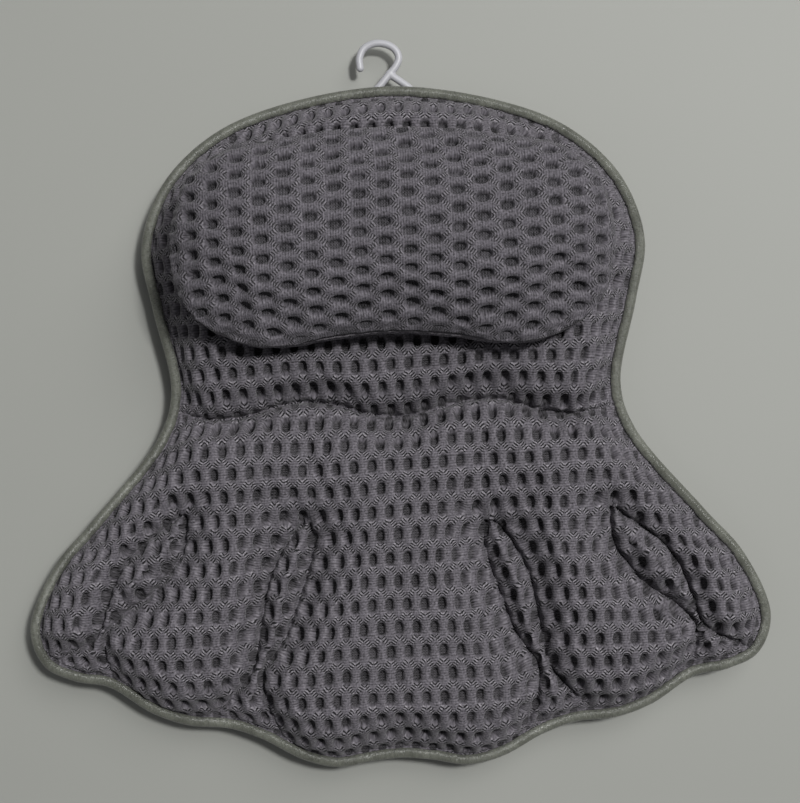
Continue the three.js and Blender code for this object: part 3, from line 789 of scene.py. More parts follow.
    def head_places(self, column: Array, t: Array) -> Array:
        """Plan places of the head section.

        Args:
            column: Signed column count from the middle line.
            t: Share from the fold, 0, to the head arc, 1.

        Returns:
            Places for each column and share together.
        """
        gap = self.fold_gap / 2
        side = self.fold_share(self.edge_inset, gap)
        corner = self.outline.nearest(self.on_pad(self.head_corner))
        edge_x = self.shoulder_places(column, np.zeros_like(t))[..., 0]
        limit = abs(self.rim(self.fold_share(self.edge_inset, -gap))[0])
        u = (edge_x / limit + 1) / 2
        right, left = self.rim(side + (corner - side) * t), self.rim(-side - (corner - side) * t)
        top = self.rim(corner * (2 * u - 1))
        low_left, low_right = self.rim(-side), self.rim(side)
        high_left, high_right = self.rim(-corner), self.rim(corner)
        x = low_left[0] + (low_right[0] - low_left[0]) * u
        fold = np.stack([x, self.fold_y(x) + gap], -1)
        u, t = u[..., None], t[..., None]
        low, high = low_left * (1 - u) + low_right * u, high_left * (1 - u) + high_right * u
        return fold * (1 - t) + top * t + left * (1 - u) + right * u - (low * (1 - t) + high * t)

    def places(self, fine: int) -> Array:
        """Plan places of the whole cover, rows from the lower edge up to the head arc.

        Args:
            fine: Fine steps in each coarse one.

        Returns:
            Places, rows by columns by two.
        """
        half = sum(self.panels)
        column = np.arange(-half * fine, half * fine + 1) / fine
        lower = 1 - crowded(self.shoulder_rows * fine, 0.3)
        upper = crowded(self.head_rows * fine, 0.3)
        shoulder = self.shoulder_places(*np.meshgrid(column, lower))
        head = self.head_places(*np.meshgrid(column, upper))
        between = np.arange(1, self.fold_rows * fine) / (self.fold_rows * fine)
        strip = shoulder[-1] + (head[0] - shoulder[-1]) * between[:, None, None]
        return np.concatenate([shoulder, strip, head])

    def from_rim(self, places: Array) -> Array:
        """Distance inside the foot of the crown."""
        return np.maximum(distance_to(self.rim_line, places) - self.crown_inset, 0)

    def from_fold(self, places: Array) -> Array:
        """Distance from the fold seam's edges."""
        return np.maximum(np.abs(places[..., 1] - self.fold_y(places[..., 0])) - self.fold_gap / 2, 0)

    def from_petals(self, places: Array) -> Array:
        """Distance from the nearest petal seam."""
        right = np.stack([np.abs(places[..., 0]), places[..., 1]], -1)
        return np.minimum.reduce([distance_to(line, right) for line in self.stitch_lines])

    def plain_crown(self, places: Array) -> Array:
        """Height of the pad above its rim without its inner seams."""
        return self.crown * swell(self.from_rim(places), self.reach)

    def seamed_crown(self, places: Array) -> Array:
        """Height of the pad above its rim, drawn down along its seams and round the headrest's foot.

        Args:
            places: Plan places.

        Returns:
            Height at each place.
        """
        fold = self.dip(self.from_fold(places), self.fold_low, self.fold_dip)
        petals = self.dip(self.from_petals(places), self.petal_low, self.petal_dip)
        foot = np.array(self.headrest_foot)
        beyond = np.linalg.norm(np.maximum(np.abs(places - (0, foot[2])) - foot[:2], 0), axis=-1)
        sunk = self.foot_sink * np.exp(-((np.maximum(beyond - foot[3], 0) / self.foot_reach) ** 2))
        crown = self.plain_crown(places) * fold * petals
        return crown * (1 - sunk / self.crown)

    @staticmethod
    def dip(distance: Array, low: float, shape: tuple) -> Array:
        """Share of the height that a seam leaves standing.

        Args:
            distance: Distance from the seam.
            low: Share that the seam takes at its stitches.
            shape: Part of that share in the narrow crease, the crease's reach, and the slope's reach.

        Returns:
            Share left at each distance.
        """
        narrow, near, far = shape
        return 1 - low * (narrow * (1 - swell(distance, near)) + (1 - narrow) * (1 - swell(distance, far)))


# Materials


class Ink:
    """Small helper that places nodes and wires them."""

    def __init__(self, tree: bpy.types.NodeTree) -> None:
        """Keeps the tree that gets the nodes."""
        self.tree = tree

    def node(self, kind: str, **inputs: object) -> bpy.types.Node:
        """Places a node and sets or wires its inputs.

        Args:
            kind: Type of the node.
            inputs: Value or output for each input, named with _ for spaces.

        Returns:
            The node.
        """
        made = self.tree.nodes.new(kind)
        self.fill(made, **inputs)
        return made

    def fill(self, made: bpy.types.Node, **inputs: object) -> None:
        """Sets or wires a node's inputs, named with _ for spaces."""
        for name, value in inputs.items():
            self.feed(made.inputs[name.replace("_", " ")], value)

    def feed(self, socket: Socket, value: object) -> None:
        """Wires an output into a socket, or sets its value."""
        if isinstance(value, Socket):
            self.tree.links.new(value, socket)
        else:
            socket.default_value = value

    def math(self, operation: str, *values: object, clamp: bool = False) -> Socket:
        """Places one step of arithmetic.

        Args:
            operation: Name of the operation.
            values: Values or outputs that it takes.
            clamp: Whether the result stays between 0 and 1.

        Returns:
            The result's output.
        """
        made = self.tree.nodes.new("ShaderNodeMath")
        made.operation = operation
        made.use_clamp = clamp
        for socket, value in zip(made.inputs, values):
            self.feed(socket, value)
        return made.outputs[0]

    def plus(self, a: object, b: object) -> Socket:
        """One value plus another."""
        return self.math("ADD", a, b)

    def minus(self, a: object, b: object) -> Socket:
        """One value minus another."""
        return self.math("SUBTRACT", a, b)

    def times(self, a: object, b: object) -> Socket:
        """One value times another."""
        return self.math("MULTIPLY", a, b)

    def vector(self, operation: str, *values: object) -> Socket:
        """Places one step of vector arithmetic.

        Args:
            operation: Name of the operation.
            values: Values or outputs that it takes.

        Returns:
            The result's output.
        """
        made = self.tree.nodes.new("ShaderNodeVectorMath")
        made.operation = operation
        for socket, value in zip(made.inputs, values):
            self.feed(socket, value)
        return made.outputs["Value" if operation in ("LENGTH", "DOT_PRODUCT") else "Vector"]

    def scaled(self, value: object, factor: object) -> Socket:
        """A vector or colour times a factor."""
        made = self.vector("SCALE", value)
        self.feed(made.node.inputs["Scale"], factor)
        return made

    def step(self, value: object, low: float, high: float) -> Socket:
        """Places a smooth step.

        Args:
            value: Value or output that is mapped.
            low: Where the step is 0.
            high: Where the step is 1. It may be the smaller.

        Returns:
            The step's output.
        """
        made = self.node("ShaderNodeMapRange", Value=value)
        made.interpolation_type = "SMOOTHSTEP"
        self.fill(made, From_Min=min(low, high), From_Max=max(low, high))
        self.fill(made, To_Min=float(low >= high), To_Max=float(low < high))
        return made.outputs["Result"]

    def mix(self, share: object, a: object, b: object, blend: str = "MIX") -> Socket:
        """Blends two colours.

        Args:
            share: Share of the second one.
            a: First colour.
            b: Second colour.
            blend: How they are blended.

        Returns:
            The blend's output.
        """
        made = self.tree.nodes.new("ShaderNodeMix")
        made.data_type = "RGBA"
        made.blend_type = blend
        self.feed(made.inputs[0], share)
        self.feed(made.inputs[6], a)
        self.feed(made.inputs[7], b)
        return made.outputs[2]

    def noise(self, place: object, scale: float, detail: float = 2.0) -> Socket:
        """Noise between 0 and 1 at a place."""
        return self.node("ShaderNodeTexNoise", Vector=place, Scale=scale, Detail=detail).outputs[0]

    def wave(self, value: object, pitch: float) -> Socket:
        """A sine of a length with a pitch, from -1 to 1."""
        return self.math("SINE", self.times(value, TURN / pitch))


class Kind(Enum):
    """Sockets that a shader group may have."""

    VECTOR = "NodeSocketVector"
    COLOR = "NodeSocketColor"
    FLOAT = "NodeSocketFloat"


def group_of(
    name: str,
    inputs: Sequence[tuple[str, Kind, object]],
    outputs: Sequence[tuple[str, Kind]],
    draw: Callable[[Ink, bpy.types.Node], dict[str, Socket]],
) -> bpy.types.NodeTree:
    """Builds a shader group once.

    Args:
        name: Name of the group.
        inputs: Name, kind and value of each input.
        outputs: Name and kind of each output.
        draw: Places the nodes and returns the socket of each output.

    Returns:
        The group, built now or before.
    """
    known = bpy.data.node_groups.get(name)
    if known is not None:
        return known
    tree = bpy.data.node_groups.new(name, "ShaderNodeTree")
    for label, kind, value in inputs:
        socket = tree.interface.new_socket(name=label, in_out="INPUT", socket_type=kind.value)
        if value is not None:
            socket.default_value = value
    for label, kind in outputs:
        tree.interface.new_socket(name=label, in_out="OUTPUT", socket_type=kind.value)
    given = tree.nodes.new("NodeGroupInput")
    result = tree.nodes.new("NodeGroupOutput")
    for label, socket in draw(Ink(tree), given).items():
        tree.links.new(socket, result.inputs[label])
    return tree


@dataclass(frozen=True)
class Threads:
    """Fine threads of the spacer mesh: sizes in millimetres, the rest are shares and strengths."""

    pitch: float = 1.42
    hole: tuple = (0.94, 0.8)
    # Inner and outer bounds of the ring on each hole's lip that gets the painted highlight.
    lip_inside: tuple = (0.98, 1.1)
    lip_outside: tuple = (1.6, 1.2)
    ladder_way: tuple = (0.647, 0.763, 0)
    ladder_side: tuple = (0.763, -0.647, 0)
    ladder_half_width: tuple = (1.5, 1.2)
    ladder_half_length: tuple = (3.0, 2.6)
    gap: tuple = (0.0, 0.5)
    strand: tuple = (-0.1, -0.6)
    wander: float = 1.2
    course: float = 0.2
    floor: float = 0.4
    floor_light: float = 2.2
    fibre: float = 3.0
    clouds: float = 0.35
    # Strength of the painted highlight that pales each hole's lip towards the Edge colour.
    lip_highlight: float = 0.2
    strand_light: float = 0.6
    course_height: float = 0.14
    gap_depth: float = 1.1
    floor_height: float = 0.2
    fibre_height: float = 0.25
    hole_depth: float = 0.5


def spacer_group(knit: Knit, threads: Threads = Threads()) -> bpy.types.NodeTree:
    """Builds the spacer mesh's colour and relief from a place on the cloth, in tenths of a metre. The colour
    holds painted light: paler hole lips as a highlight, and darker hole floors and near-black ladder gaps as
    shade.

    Args:
        knit: Pattern of the holes.
        threads: The threads between and in them.

    Returns:
        The shader group.
    """
    size = 0.1 / MM
    pitch, row = knit.pitch / MM, knit.row / MM
    wide, tall = knit.hole_width / 2 / MM, knit.hole_height / 2 / MM

    def radius_of(ink: Ink, off: Socket) -> Socket:
        """Distance from a hole's middle, 1 on its edge."""
        shares = ink.vector("DIVIDE", ink.vector("ABSOLUTE", off), (wide, tall, 1))
        parts = ink.node("ShaderNodeSeparateXYZ", Vector=shares)
        across = ink.math("POWER", parts.outputs["X"], knit.squareness)
        beyond = ink.math("POWER", parts.outputs["Y"], knit.squareness)
        return ink.math("POWER", ink.plus(across, beyond), 1 / knit.squareness)

    def draw(ink: Ink, given: bpy.types.Node) -> dict[str, Socket]:
        """Draws the mesh's nodes.

        Args:
            ink: What places them.
            given: The group's inputs.

        Returns:
            The group's outputs, by name.
        """
        place = ink.vector("MULTIPLY", given.outputs["Place"], (size, size, 0))
        cell = ink.vector("DIVIDE", place, (pitch, 2 * row, 1))
        radii, offsets = [], []
        for offset in (0.5, 0.0):
            turned = ink.vector("FRACTION", ink.vector("ADD", cell, (offset, offset, 0)))
            off = ink.vector("MULTIPLY", ink.vector("SUBTRACT", turned, (0.5, 0.5, 0)), (pitch, 2 * row, 0))
            offsets.append(off)
            radii.append(radius_of(ink, off))
        radius = ink.math("MINIMUM", *radii)
        hole = ink.step(radius, *threads.hole)
        # Ring on each hole's lip that is painted paler, as a highlight.
        lip_highlight = ink.times(ink.step(radius, *threads.lip_inside), ink.step(radius, *threads.lip_outside))
        folded = ink.vector("ABSOLUTE", offsets[0])
        middle = ink.vector("SUBTRACT", folded, (pitch / 4, row / 2, 0))
        beside = ink.math("ABSOLUTE", ink.vector("DOT_PRODUCT", middle, threads.ladder_side))
        along = ink.vector("DOT_PRODUCT", middle, threads.ladder_way)
        band = ink.times(
            ink.step(beside, *threads.ladder_half_width),
            ink.step(ink.math("ABSOLUTE", along), *threads.ladder_half_length),
        )
        uneven = ink.noise(place, 0.22, 2)
        band = ink.times(band, ink.step(uneven, 0.0, 0.3))
        askew = ink.times(ink.minus(ink.noise(place, 0.4, 2), 0.5), threads.wander)
        strand = ink.wave(ink.plus(along, askew), threads.pitch)
        # The gaps between a ladder's strands are painted near-black, as shade seen into the openings.
        ladder = ink.times(band, ink.step(strand, *threads.gap))
        thread = ink.times(band, ink.step(strand, *threads.strand))
        apart = ink.node("ShaderNodeSeparateXYZ", Vector=place)
        course = ink.wave(apart.outputs["Y"], threads.pitch)
        wale = ink.wave(apart.outputs["X"], threads.pitch)
        grid = ink.times(course, wale)
        fibre = ink.noise(place, 0.85, 3)
        cloudy = ink.noise(place, 0.035, 3)
        clear = ink.minus(1.0, hole)
        lines = ink.times(course, ink.times(clear, threads.course))
        lit = ink.minus(ink.noise(place, 0.09, 1), 0.45)
        lit = ink.times(lit, threads.floor_light)
        floor = ink.plus(ink.times(ink.plus(grid, course), threads.floor), lit)
        floor = ink.times(floor, hole)
        fuzz = ink.times(ink.minus(fibre, 0.5), threads.fibre)
        shade = ink.plus(ink.plus(lines, floor), fuzz)
        clouds = ink.times(ink.minus(cloudy, 0.5), threads.clouds)
        tone = ink.plus(1.0, ink.plus(shade, clouds))
        # Painted highlight: the lip ring is mixed towards the pale Edge colour.
        pale = ink.mix(ink.times(lip_highlight, threads.lip_highlight), given.outputs["Rib"], given.outputs["Edge"])
        pale = ink.mix(ink.times(thread, threads.strand_light), pale, given.outputs["Edge"])
        # Hole floors take the darker Hole colour: the lower layer's own tone, darkened further as painted
        # shade in the recess.
        colour = ink.mix(hole, pale, given.outputs["Hole"])
        # Painted shade: the ladder gaps take the near-black Slit colour.
        colour = ink.scaled(ink.mix(ladder, colour, given.outputs["Slit"]), tone)
        height = ink.times(course, ink.times(clear, threads.course_height))
        height = ink.minus(height, ink.times(ladder, threads.gap_depth))
        weave = ink.times(grid, ink.times(hole, threads.floor_height))
        height = ink.plus(height, weave)
        height = ink.plus(height, ink.times(fibre, threads.fibre_height))
        height = ink.minus(height, ink.times(hole, threads.hole_depth))
        return {"Color": colour, "Height": height, "Hole mask": hole}

    return group_of(
        "spacer_mesh",
        [
            ("Place", Kind.VECTOR, None),
            ("Rib", Kind.COLOR, (0.15, 0.14, 0.15, 1)),
            # Edge is the pale strands' colour and the painted highlight on hole lips; Hole is the darker
            # floor, partly painted shade; Slit is painted shade in the ladder gaps.
            ("Edge", Kind.COLOR, (0.18, 0.17, 0.18, 1)),
            ("Hole", Kind.COLOR, (0.05, 0.05, 0.05, 1)),
            ("Slit", Kind.COLOR, (0.02, 0.02, 0.02, 1)),
        ],
        [("Color", Kind.COLOR), ("Height", Kind.FLOAT), ("Hole mask", Kind.FLOAT)],
        draw,
    )


def weave_group() -> bpy.types.NodeTree:
    """Builds a plain weave's relief, and a shade that darkens the colour where threads dip under, as painted
    shade, from a place in threads.

    Returns:
        The shader group.
    """

    def draw(ink: Ink, given: bpy.types.Node) -> dict[str, Socket]:
        """Draws the weave's nodes.

        Args:
            ink: What places them.
            given: The group's inputs.

        Returns:
            The group's outputs, by name.
        """
        apart = ink.node("ShaderNodeSeparateXYZ", Vector=given.outputs["Threads"])
        x, y = apart.outputs["X"], apart.outputs["Y"]
        warp = ink.math("ABSOLUTE", ink.wave(x, 2))
        weft = ink.math("ABSOLUTE", ink.wave(y, 2))
        over = ink.step(ink.times(ink.wave(x, 2), ink.wave(y, 2)), -0.2, 0.2)
        upper = ink.times(warp, over)
        lower = ink.times(weft, ink.minus(1.0, over))
        height = ink.plus(upper, lower)
        fibre = ink.noise(given.outputs["Threads"], 3, 2)
        # Painted shade: the colour darkens where the weave is low, with random fibre on top.
        shade = ink.plus(ink.times(height, 0.45), ink.times(fibre, 0.5))
        return {"Height": height, "Shade": shade}

    return group_of(
        "plain_weave",
        [("Threads", Kind.VECTOR, None)],
        [("Height", Kind.FLOAT), ("Shade", Kind.FLOAT)],
        draw,
    )


def new_material(name: str) -> tuple[bpy.types.Material, Ink, bpy.types.Node]:
    """Makes a material, ready to be wired.

    Args:
        name: Name of the material.

    Returns:
        The material, its ink and its shader.
    """
    material = bpy.data.materials.new(name)
    material.use_nodes = True
    ink = Ink(material.node_tree)
    return material, ink, material.node_tree.nodes["Principled BSDF"]


def toned(colour: tuple, factor: float) -> tuple:
    """A colour made darker or lighter."""
    return tuple(c * factor for c in colour[:3]) + (1,)


def bump(ink: Ink, shader: bpy.types.Node, height: object, distance: float, strength: float = 1.0) -> None:
    """Wires a relief into a shader's normal."""
    made = ink.node("ShaderNodeBump", Height=height, Distance=distance, Strength=strength)
    ink.feed(shader.inputs["Normal"], made.outputs["Normal"])


@dataclass(frozen=True)
class SpacerFinish:
    """Plum-grey spacer mesh, with a painted highlight on its hole lips and painted shade in its hole floors
    and ladder gaps.
    """

    knit: Knit
    name: str = "air_mesh_cloth"
    rib: tuple = (0.12, 0.111, 0.125, 1)
    # Pale colour of the light strands, and of the painted highlight on the hole lips.
    edge: tuple = (0.28, 0.263, 0.285, 1)
    # Darker hole floor: the lower layer's tone, with painted shade in the recess.
    hole: tuple = (0.047, 0.044, 0.048, 1)
    # Near-black colour of the ladder gaps: painted shade in the openings.
    slit_shade: tuple = (0.008, 0.008, 0.009, 1)

    def build(self) -> bpy.types.Material:
        """Builds the cloth's material over its "cloth" map.

        Returns:
            The material.
        """
        material, ink, shader = new_material(self.name)
        place = ink.node("ShaderNodeUVMap")
        place.uv_map = "cloth"
        group = ink.tree.nodes.new("ShaderNodeGroup")
        group.node_tree = spacer_group(self.knit)
        ink.fill(group, Place=place.outputs["UV"])
        ink.fill(group, Rib=self.rib, Edge=self.edge, Hole=self.hole, Slit=self.slit_shade)
        ink.fill(shader, Base_Color=group.outputs["Color"], Roughness=0.78, Specular_IOR_Level=0.3)
        ink.fill(shader, Sheen_Weight=0.12, Sheen_Roughness=0.45)
        bump(ink, shader, group.outputs["Height"], 0.0005, 0.9)
        return material


@dataclass(frozen=True)
class WovenFinish:
    """Plain woven or knitted cloth, with a thread's pitch and a colour."""

    name: str
    colour: tuple
    pitch: float
    roughness: float = 0.8
    sheen: float = 0.1
    relief: float = 0.15 * MM
    mapped: bool = False

    def build(self) -> bpy.types.Material:
        """Builds the cloth's material on Object coordinates, or over its "cloth" map.

        Returns:
            The material.
        """
        material, ink, shader = new_material(self.name)
        if self.mapped:
            source = ink.node("ShaderNodeUVMap")
            source.uv_map = "cloth"
            threads = ink.scaled(source.outputs["UV"], 0.1 / self.pitch)
        else:
            source = ink.node("ShaderNodeTexCoord")
            threads = ink.scaled(source.outputs["Object"], 1 / self.pitch)
        group = ink.tree.nodes.new("ShaderNodeGroup")
        group.node_tree = weave_group()
        ink.feed(group.inputs["Threads"], threads)
        wide = ink.noise(ink.node("ShaderNodeTexCoord").outputs["Object"], 30, 3)
        patches = ink.times(ink.minus(wide, 0.5), 0.5)
        # The weave's painted shade, with random patches, picks the colour between darker and lighter tones.
        shade = ink.math("ADD", group.outputs["Shade"], patches, clamp=True)
        colour = ink.mix(shade, toned(self.colour, 0.5), toned(self.colour, 1.3))
        rough = ink.plus(self.roughness - 0.08, ink.times(wide, 0.16))
        ink.fill(shader, Base_Color=colour, Roughness=rough, Sheen_Weight=self.sheen)
        bump(ink, shader, group.outputs["Height"], self.relief, 0.8)
        return material


@dataclass(frozen=True)
class SatinFinish:
    """Satin binding tape: fine ribs across it, puckers along it, and a soft gleam."""

    colour: tuple = (0.21, 0.217, 0.182, 1)
    dark: tuple = (0.065, 0.068, 0.053, 1)

    def build(self) -> bpy.types.Material:
        """Builds the tape's material over its "cloth" map: x runs along the edge, y across.

        Returns:
            The material.
        """
        material, ink, shader = new_material("satin_binding")
        source = ink.node("ShaderNodeUVMap")
        source.uv_map = "cloth"
        place = ink.vector("MULTIPLY", source.outputs["UV"], (100, 100, 0))
        apart = ink.node("ShaderNodeSeparateXYZ", Vector=place)
        thread = ink.wave(apart.outputs["X"], 0.42)
        stretched = ink.vector("MULTIPLY", place, (0.35, 0.08, 1))
        pucker = ink.noise(stretched, 1.0, 3)
        blotch = ink.noise(place, 0.06, 3)
        fibre = ink.noise(ink.vector("MULTIPLY", place, (2.5, 0.5, 1)), 1.2, 2)
        share = ink.plus(ink.times(blotch, 0.5), ink.times(fibre, 0.5))
        share = ink.step(share, 0.25, 0.75)
        colour = ink.mix(share, self.dark, self.colour)
        rough = ink.plus(0.2, ink.times(fibre, 0.2))
        ink.fill(shader, Base_Color=colour, Roughness=rough, Specular_IOR_Level=0.8, Sheen_Weight=0.1)
        height = ink.plus(ink.times(thread, 0.1), ink.times(pucker, 3.6))
        bump(ink, shader, height, 0.0006, 0.9)
        return material


@dataclass(frozen=True)
class FibreFinish:
    """White polyester fibre filling."""

    colour: tuple = (0.78, 0.78, 0.76, 1)

    def build(self) -> bpy.types.Material:
        """Builds the filling's material.

        Returns:
            The material.
        """
        material, ink, shader = new_material("fibre_filling")
        place = ink.node("ShaderNodeTexCoord").outputs["Object"]
        strands = ink.noise(ink.vector("MULTIPLY", place, (900, 260, 500)), 1.0, 4)
        clumps = ink.noise(place, 60, 3)
        shade = ink.plus(ink.times(strands, 0.6), ink.times(clumps, 0.4))
        colour = ink.mix(ink.step(shade, 0.3, 0.7), toned(self.colour, 0.72), self.colour)
        ink.fill(shader, Base_Color=colour, Roughness=0.95)
        bump(ink, shader, shade, 0.0012, 0.8)
        return material


@dataclass(frozen=True)
class PlasticFinish:
    """Moulded white plastic."""

    colour: tuple = (0.5, 0.5, 0.525, 1)

    def build(self) -> bpy.types.Material:
        """Builds the plastic's material.

        Returns:
            The material.
        """
        material, ink, shader = new_material("moulded_plastic")
        place = ink.node("ShaderNodeTexCoord").outputs["Object"]
        flow = ink.noise(place, 70, 3)
        grain = ink.noise(place, 2600, 2)
        colour = ink.mix(flow, toned(self.colour, 0.9), self.colour)
        ink.fill(shader, Base_Color=colour, Roughness=ink.plus(0.3, ink.times(flow, 0.14)))
        ink.fill(shader, Subsurface_Weight=0.08, Subsurface_Radius=(0.002, 0.002, 0.002))
        bump(ink, shader, grain, 0.00004, 0.5)
        return material


@dataclass(frozen=True)
class VinylFinish:
    """Clear soft vinyl."""

    colour: tuple = (0.9, 0.94, 0.94, 1)
    hazy: tuple = (0.84, 0.89, 0.89, 1)

    def build(self) -> bpy.types.Material:
        """Builds the vinyl's material.

        Returns:
            The material.
        """
        material, ink, shader = new_material("clear_vinyl")
        place = ink.node("ShaderNodeTexCoord").outputs["Object"]
        haze = ink.noise(place, 120, 3)
        colour = ink.mix(haze, self.hazy, self.colour)
        rough = ink.plus(0.05, ink.times(haze, 0.12))
        ink.fill(shader, Base_Color=colour, Roughness=rough, Transmission_Weight=0.92, IOR=1.52)
        bump(ink, shader, haze, 0.0002, 0.4)
        return material


# The pillow's sub-assemblies


@dataclass
class Pillow:
    """What every sub-assembly shares: the plan, the finishes and the CAD's shift."""

    plan: PadPlan = field(default_factory=PadPlan)
    knit: Knit = field(default_factory=Knit)
    hook_inset: float = 6 * MM
    cloth_scale: float = 10.0

    def __post_init__(self) -> None:
        """Finds the CAD's shift and builds the finishes."""
        swing = next(j for j in frame["joints"] if j["name"] == "hook_swing")
        self.hook_y, self.hook_z = swing["pos_m"][1:3]
        self.shift = self.hook_y - (self.plan.length / 2 - self.hook_inset)
        self.fold_row = next(j for j in frame["joints"] if j["name"] == "seam_fold")["pos_m"][1]
        self.mesh_cloth = SpacerFinish(self.knit).build()
        # A copy of the same spacer mesh for the headrest, retoned for how light falls there: darker ribs and
        # duller lips as painted shade, lighter holes and ladder gaps as painted light.
        self.headrest_painted_light_cloth = SpacerFinish(
            self.knit,
            "taut_air_mesh",
            rib=(0.108, 0.1, 0.113, 1),
            edge=(0.19, 0.178, 0.195, 1),
            hole=(0.05, 0.047, 0.052, 1),
            slit_shade=(0.03, 0.028, 0.031, 1),
        ).build()
        self.backing = WovenFinish("knitted_backing", (0.075, 0.072, 0.08, 1), 0.9 * MM).build()
        self.piping = WovenFinish("turned_seam", (0.15, 0.138, 0.152, 1), 1.1 * MM, mapped=True).build()
        self.webbing = WovenFinish(
            "woven_webbing", (0.055, 0.055, 0.06, 1), 0.8 * MM, 0.6, 0.1, 0.3 * MM
        ).build()
        self.thread = WovenFinish("sewing_thread", (0.11, 0.11, 0.105, 1), 0.25 * MM, 0.5).build()
        self.satin = SatinFinish().build()
        self.fibre = FibreFinish().build()
        self.plastic = PlasticFinish().build()
        self.vinyl = VinylFinish().build()

    def seated(self, places: Array) -> Array:
        """Moves places from the CAD's own frame to the row frame."""
        return places + np.array([0, self.shift, 0])[: places.shape[-1]]

    def across_fold(self, piece: bpy.types.Object, half: float = 11 * MM) -> None:
        """Bakes a piece's placement into its mesh; it is not bent at the fold seam."""
        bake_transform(piece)

    @staticmethod
    def report(piece: bpy.types.Object) -> None:
        """Logs a finished piece."""
        LOG.info("%s: %d faces", piece.name, len(piece.data.polygons))


class Section(Enum):
    """The two sections of the pad, beside its fold."""

    SHOULDER = "shoulder"
    HEAD = "head"


@dataclass
class Pad:
    """The quilted pad: one cover over both sections, wadding, back panel and quilting stitches."""

    pillow: Pillow
    fine: int = 9
    stride: int = 3
    filling: Filling = Filling()
    start_share: float = 0.93
    pucker: float = 0.5 * MM
    pucker_pitch: float = 7.5 * MM
    sunk: float = 2.8 * MM
    lean: float = math.radians(-0.8)
    hole_at: tuple = (-59.7 * MM, -89.9 * MM)
    head_pull: tuple = (1.4 * MM, 6.5 * MM)

    def cover_grid(self) -> tuple[Array, Array]:
        """Places of the cover's face, and the places on the cloth that lie there.

        Returns:
            Two fine grids: places in the CAD's own frame, and places on the cloth in metres.
        """
        plan = self.pillow.plan
        plan_places = plan.places(self.fine)
        fold, rim = plan.from_fold(plan_places), plan.from_rim(plan_places)
        petals = plan.from_petals(plan_places)
        crown = plan.seamed_crown(plan_places)
        face = np.concatenate([plan_places, (plan.rim_top + crown)[..., None]], -1)
        face += spread(self.blown(), self.fine)
        cloth = self.laid(plan_places)
        seams = np.minimum(petals, fold)
        near = np.exp(-((seams / (5 * MM)) ** 2)) * ease(seams, 0, 1.5 * MM)
        ripple = np.sin(TURN * (cloth[..., 1] + 0.6 * cloth[..., 0]) / self.pucker_pitch)
        ripple = np.where(fold < petals, np.sin(TURN * cloth[..., 0] / self.pucker_pitch), ripple)
        relief = self.pillow.knit.relief(cloth)
        relief *= ease(seams, 0.3 * MM, 3 * MM) * ease(rim, 0, 2 * MM)
        relief = np.maximum(relief, -0.85 * crown)
        face += normals_of(face) * (relief + self.pucker * near * ripple)[..., None]
        face[..., 2] = np.maximum(face[..., 2], plan.rim_low + 0.9 * MM * ease(rim, 0, 1.5 * MM))
        return face, cloth

    def blown(self) -> Array:
        """Finds how the filling moves the cover.

        Returns:
            The shift of each place of the coarse grid.
        """
        plan = self.pillow.plan
        places = plan.places(2)
        petals, fold, rim = plan.from_petals(places), plan.from_fold(places), plan.from_rim(places)
        crown = self.start_share * plan.seamed_crown(places)
        base = np.concatenate([places, (plan.rim_top + crown)[..., None]], -1)
        held = (petals < 1.2 * MM) | (fold < 1.0 * MM) | (rim < 0.5 * MM)
        shift = inflated(base, held, self.filling)
        shift *= ease(rim, 0.4 * MM, 4 * MM)[..., None]
        return shift[::2, ::2]

    def laid(self, places: Array) -> Array:
        """Lays the cloth over plan places, measured apart on the two sections.

        Args:
            places: Plan places.

        Returns:
            The place on the cloth at each of them.
        """
        plan = self.pillow.plan
        low = (-plan.width / 2, -plan.length / 2 - 5 * MM)
        high = (plan.width / 2 + 2 * MM, plan.length / 2 + 5 * MM)
        cloths = [
            ClothMap(plan.plain_crown, self.within, low, high, start).at(places)
            for start in (-plan.length * 0.287, plan.length * 0.25)
        ]
        lower = places[..., 1] < plan.fold_y(places[..., 0])
        full = np.where(lower[..., None], cloths[0], cloths[1])
        cloth = places + (full - places) * plan.cloth_give
        cloth -= np.where(lower[..., None], 0, np.array(self.head_pull))
        return self.pillow.knit.straight(cloth - np.array(self.hole_at), self.lean)

    def within(self, places: Array) -> Array:
        """Tells which plan places lie inside the outline.

        Args:
            places: Plan places.

        Returns:
            True at each place inside.
        """
        line = self.pillow.plan.rim_line
        flat = places.reshape(-1, 2)
        odd = np.zeros(len(flat), bool)
        for a, b in zip(line[:-1], line[1:]):
            spans = (a[1] > flat[:, 1]) != (b[1] > flat[:, 1])
            if a[1] != b[1]:
                cross = a[0] + (flat[:, 1] - a[1]) * (b[0] - a[0]) / (b[1] - a[1])
                odd ^= spans & (flat[:, 0] < cross)
        return odd.reshape(places.shape[:-1])

    def cover(self) -> None:
        """Builds the air-mesh cover of both sections."""
        plan = self.pillow.plan
        face, cloth = self.cover_grid()
        self.top = face[..., 2].copy()
        columns, rows = 2 * sum(plan.panels), plan.shoulder_rows + plan.fold_rows + plan.head_rows
        cut = flat_cut(columns, rows, self.fine)

        def shape(flat: Array) -> Array:
            """Places of the cover."""
            places = face[counts(flat)]
            places[flat[:, 2] < 0.5, 2] = plan.rim_low
            return self.pillow.seated(places)

        def mapped(flat: Array) -> Array:
            """Its places on the cloth."""
            return cloth[counts(flat)] * self.pillow.cloth_scale

        piece = shaped("pad_cover", cut, shape, mapped)
        piece.data.materials.append(self.pillow.mesh_cloth)
        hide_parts("shoulder_front_cover", "head_front_cover")
        self.pillow.across_fold(piece)
        self.pillow.report(piece)

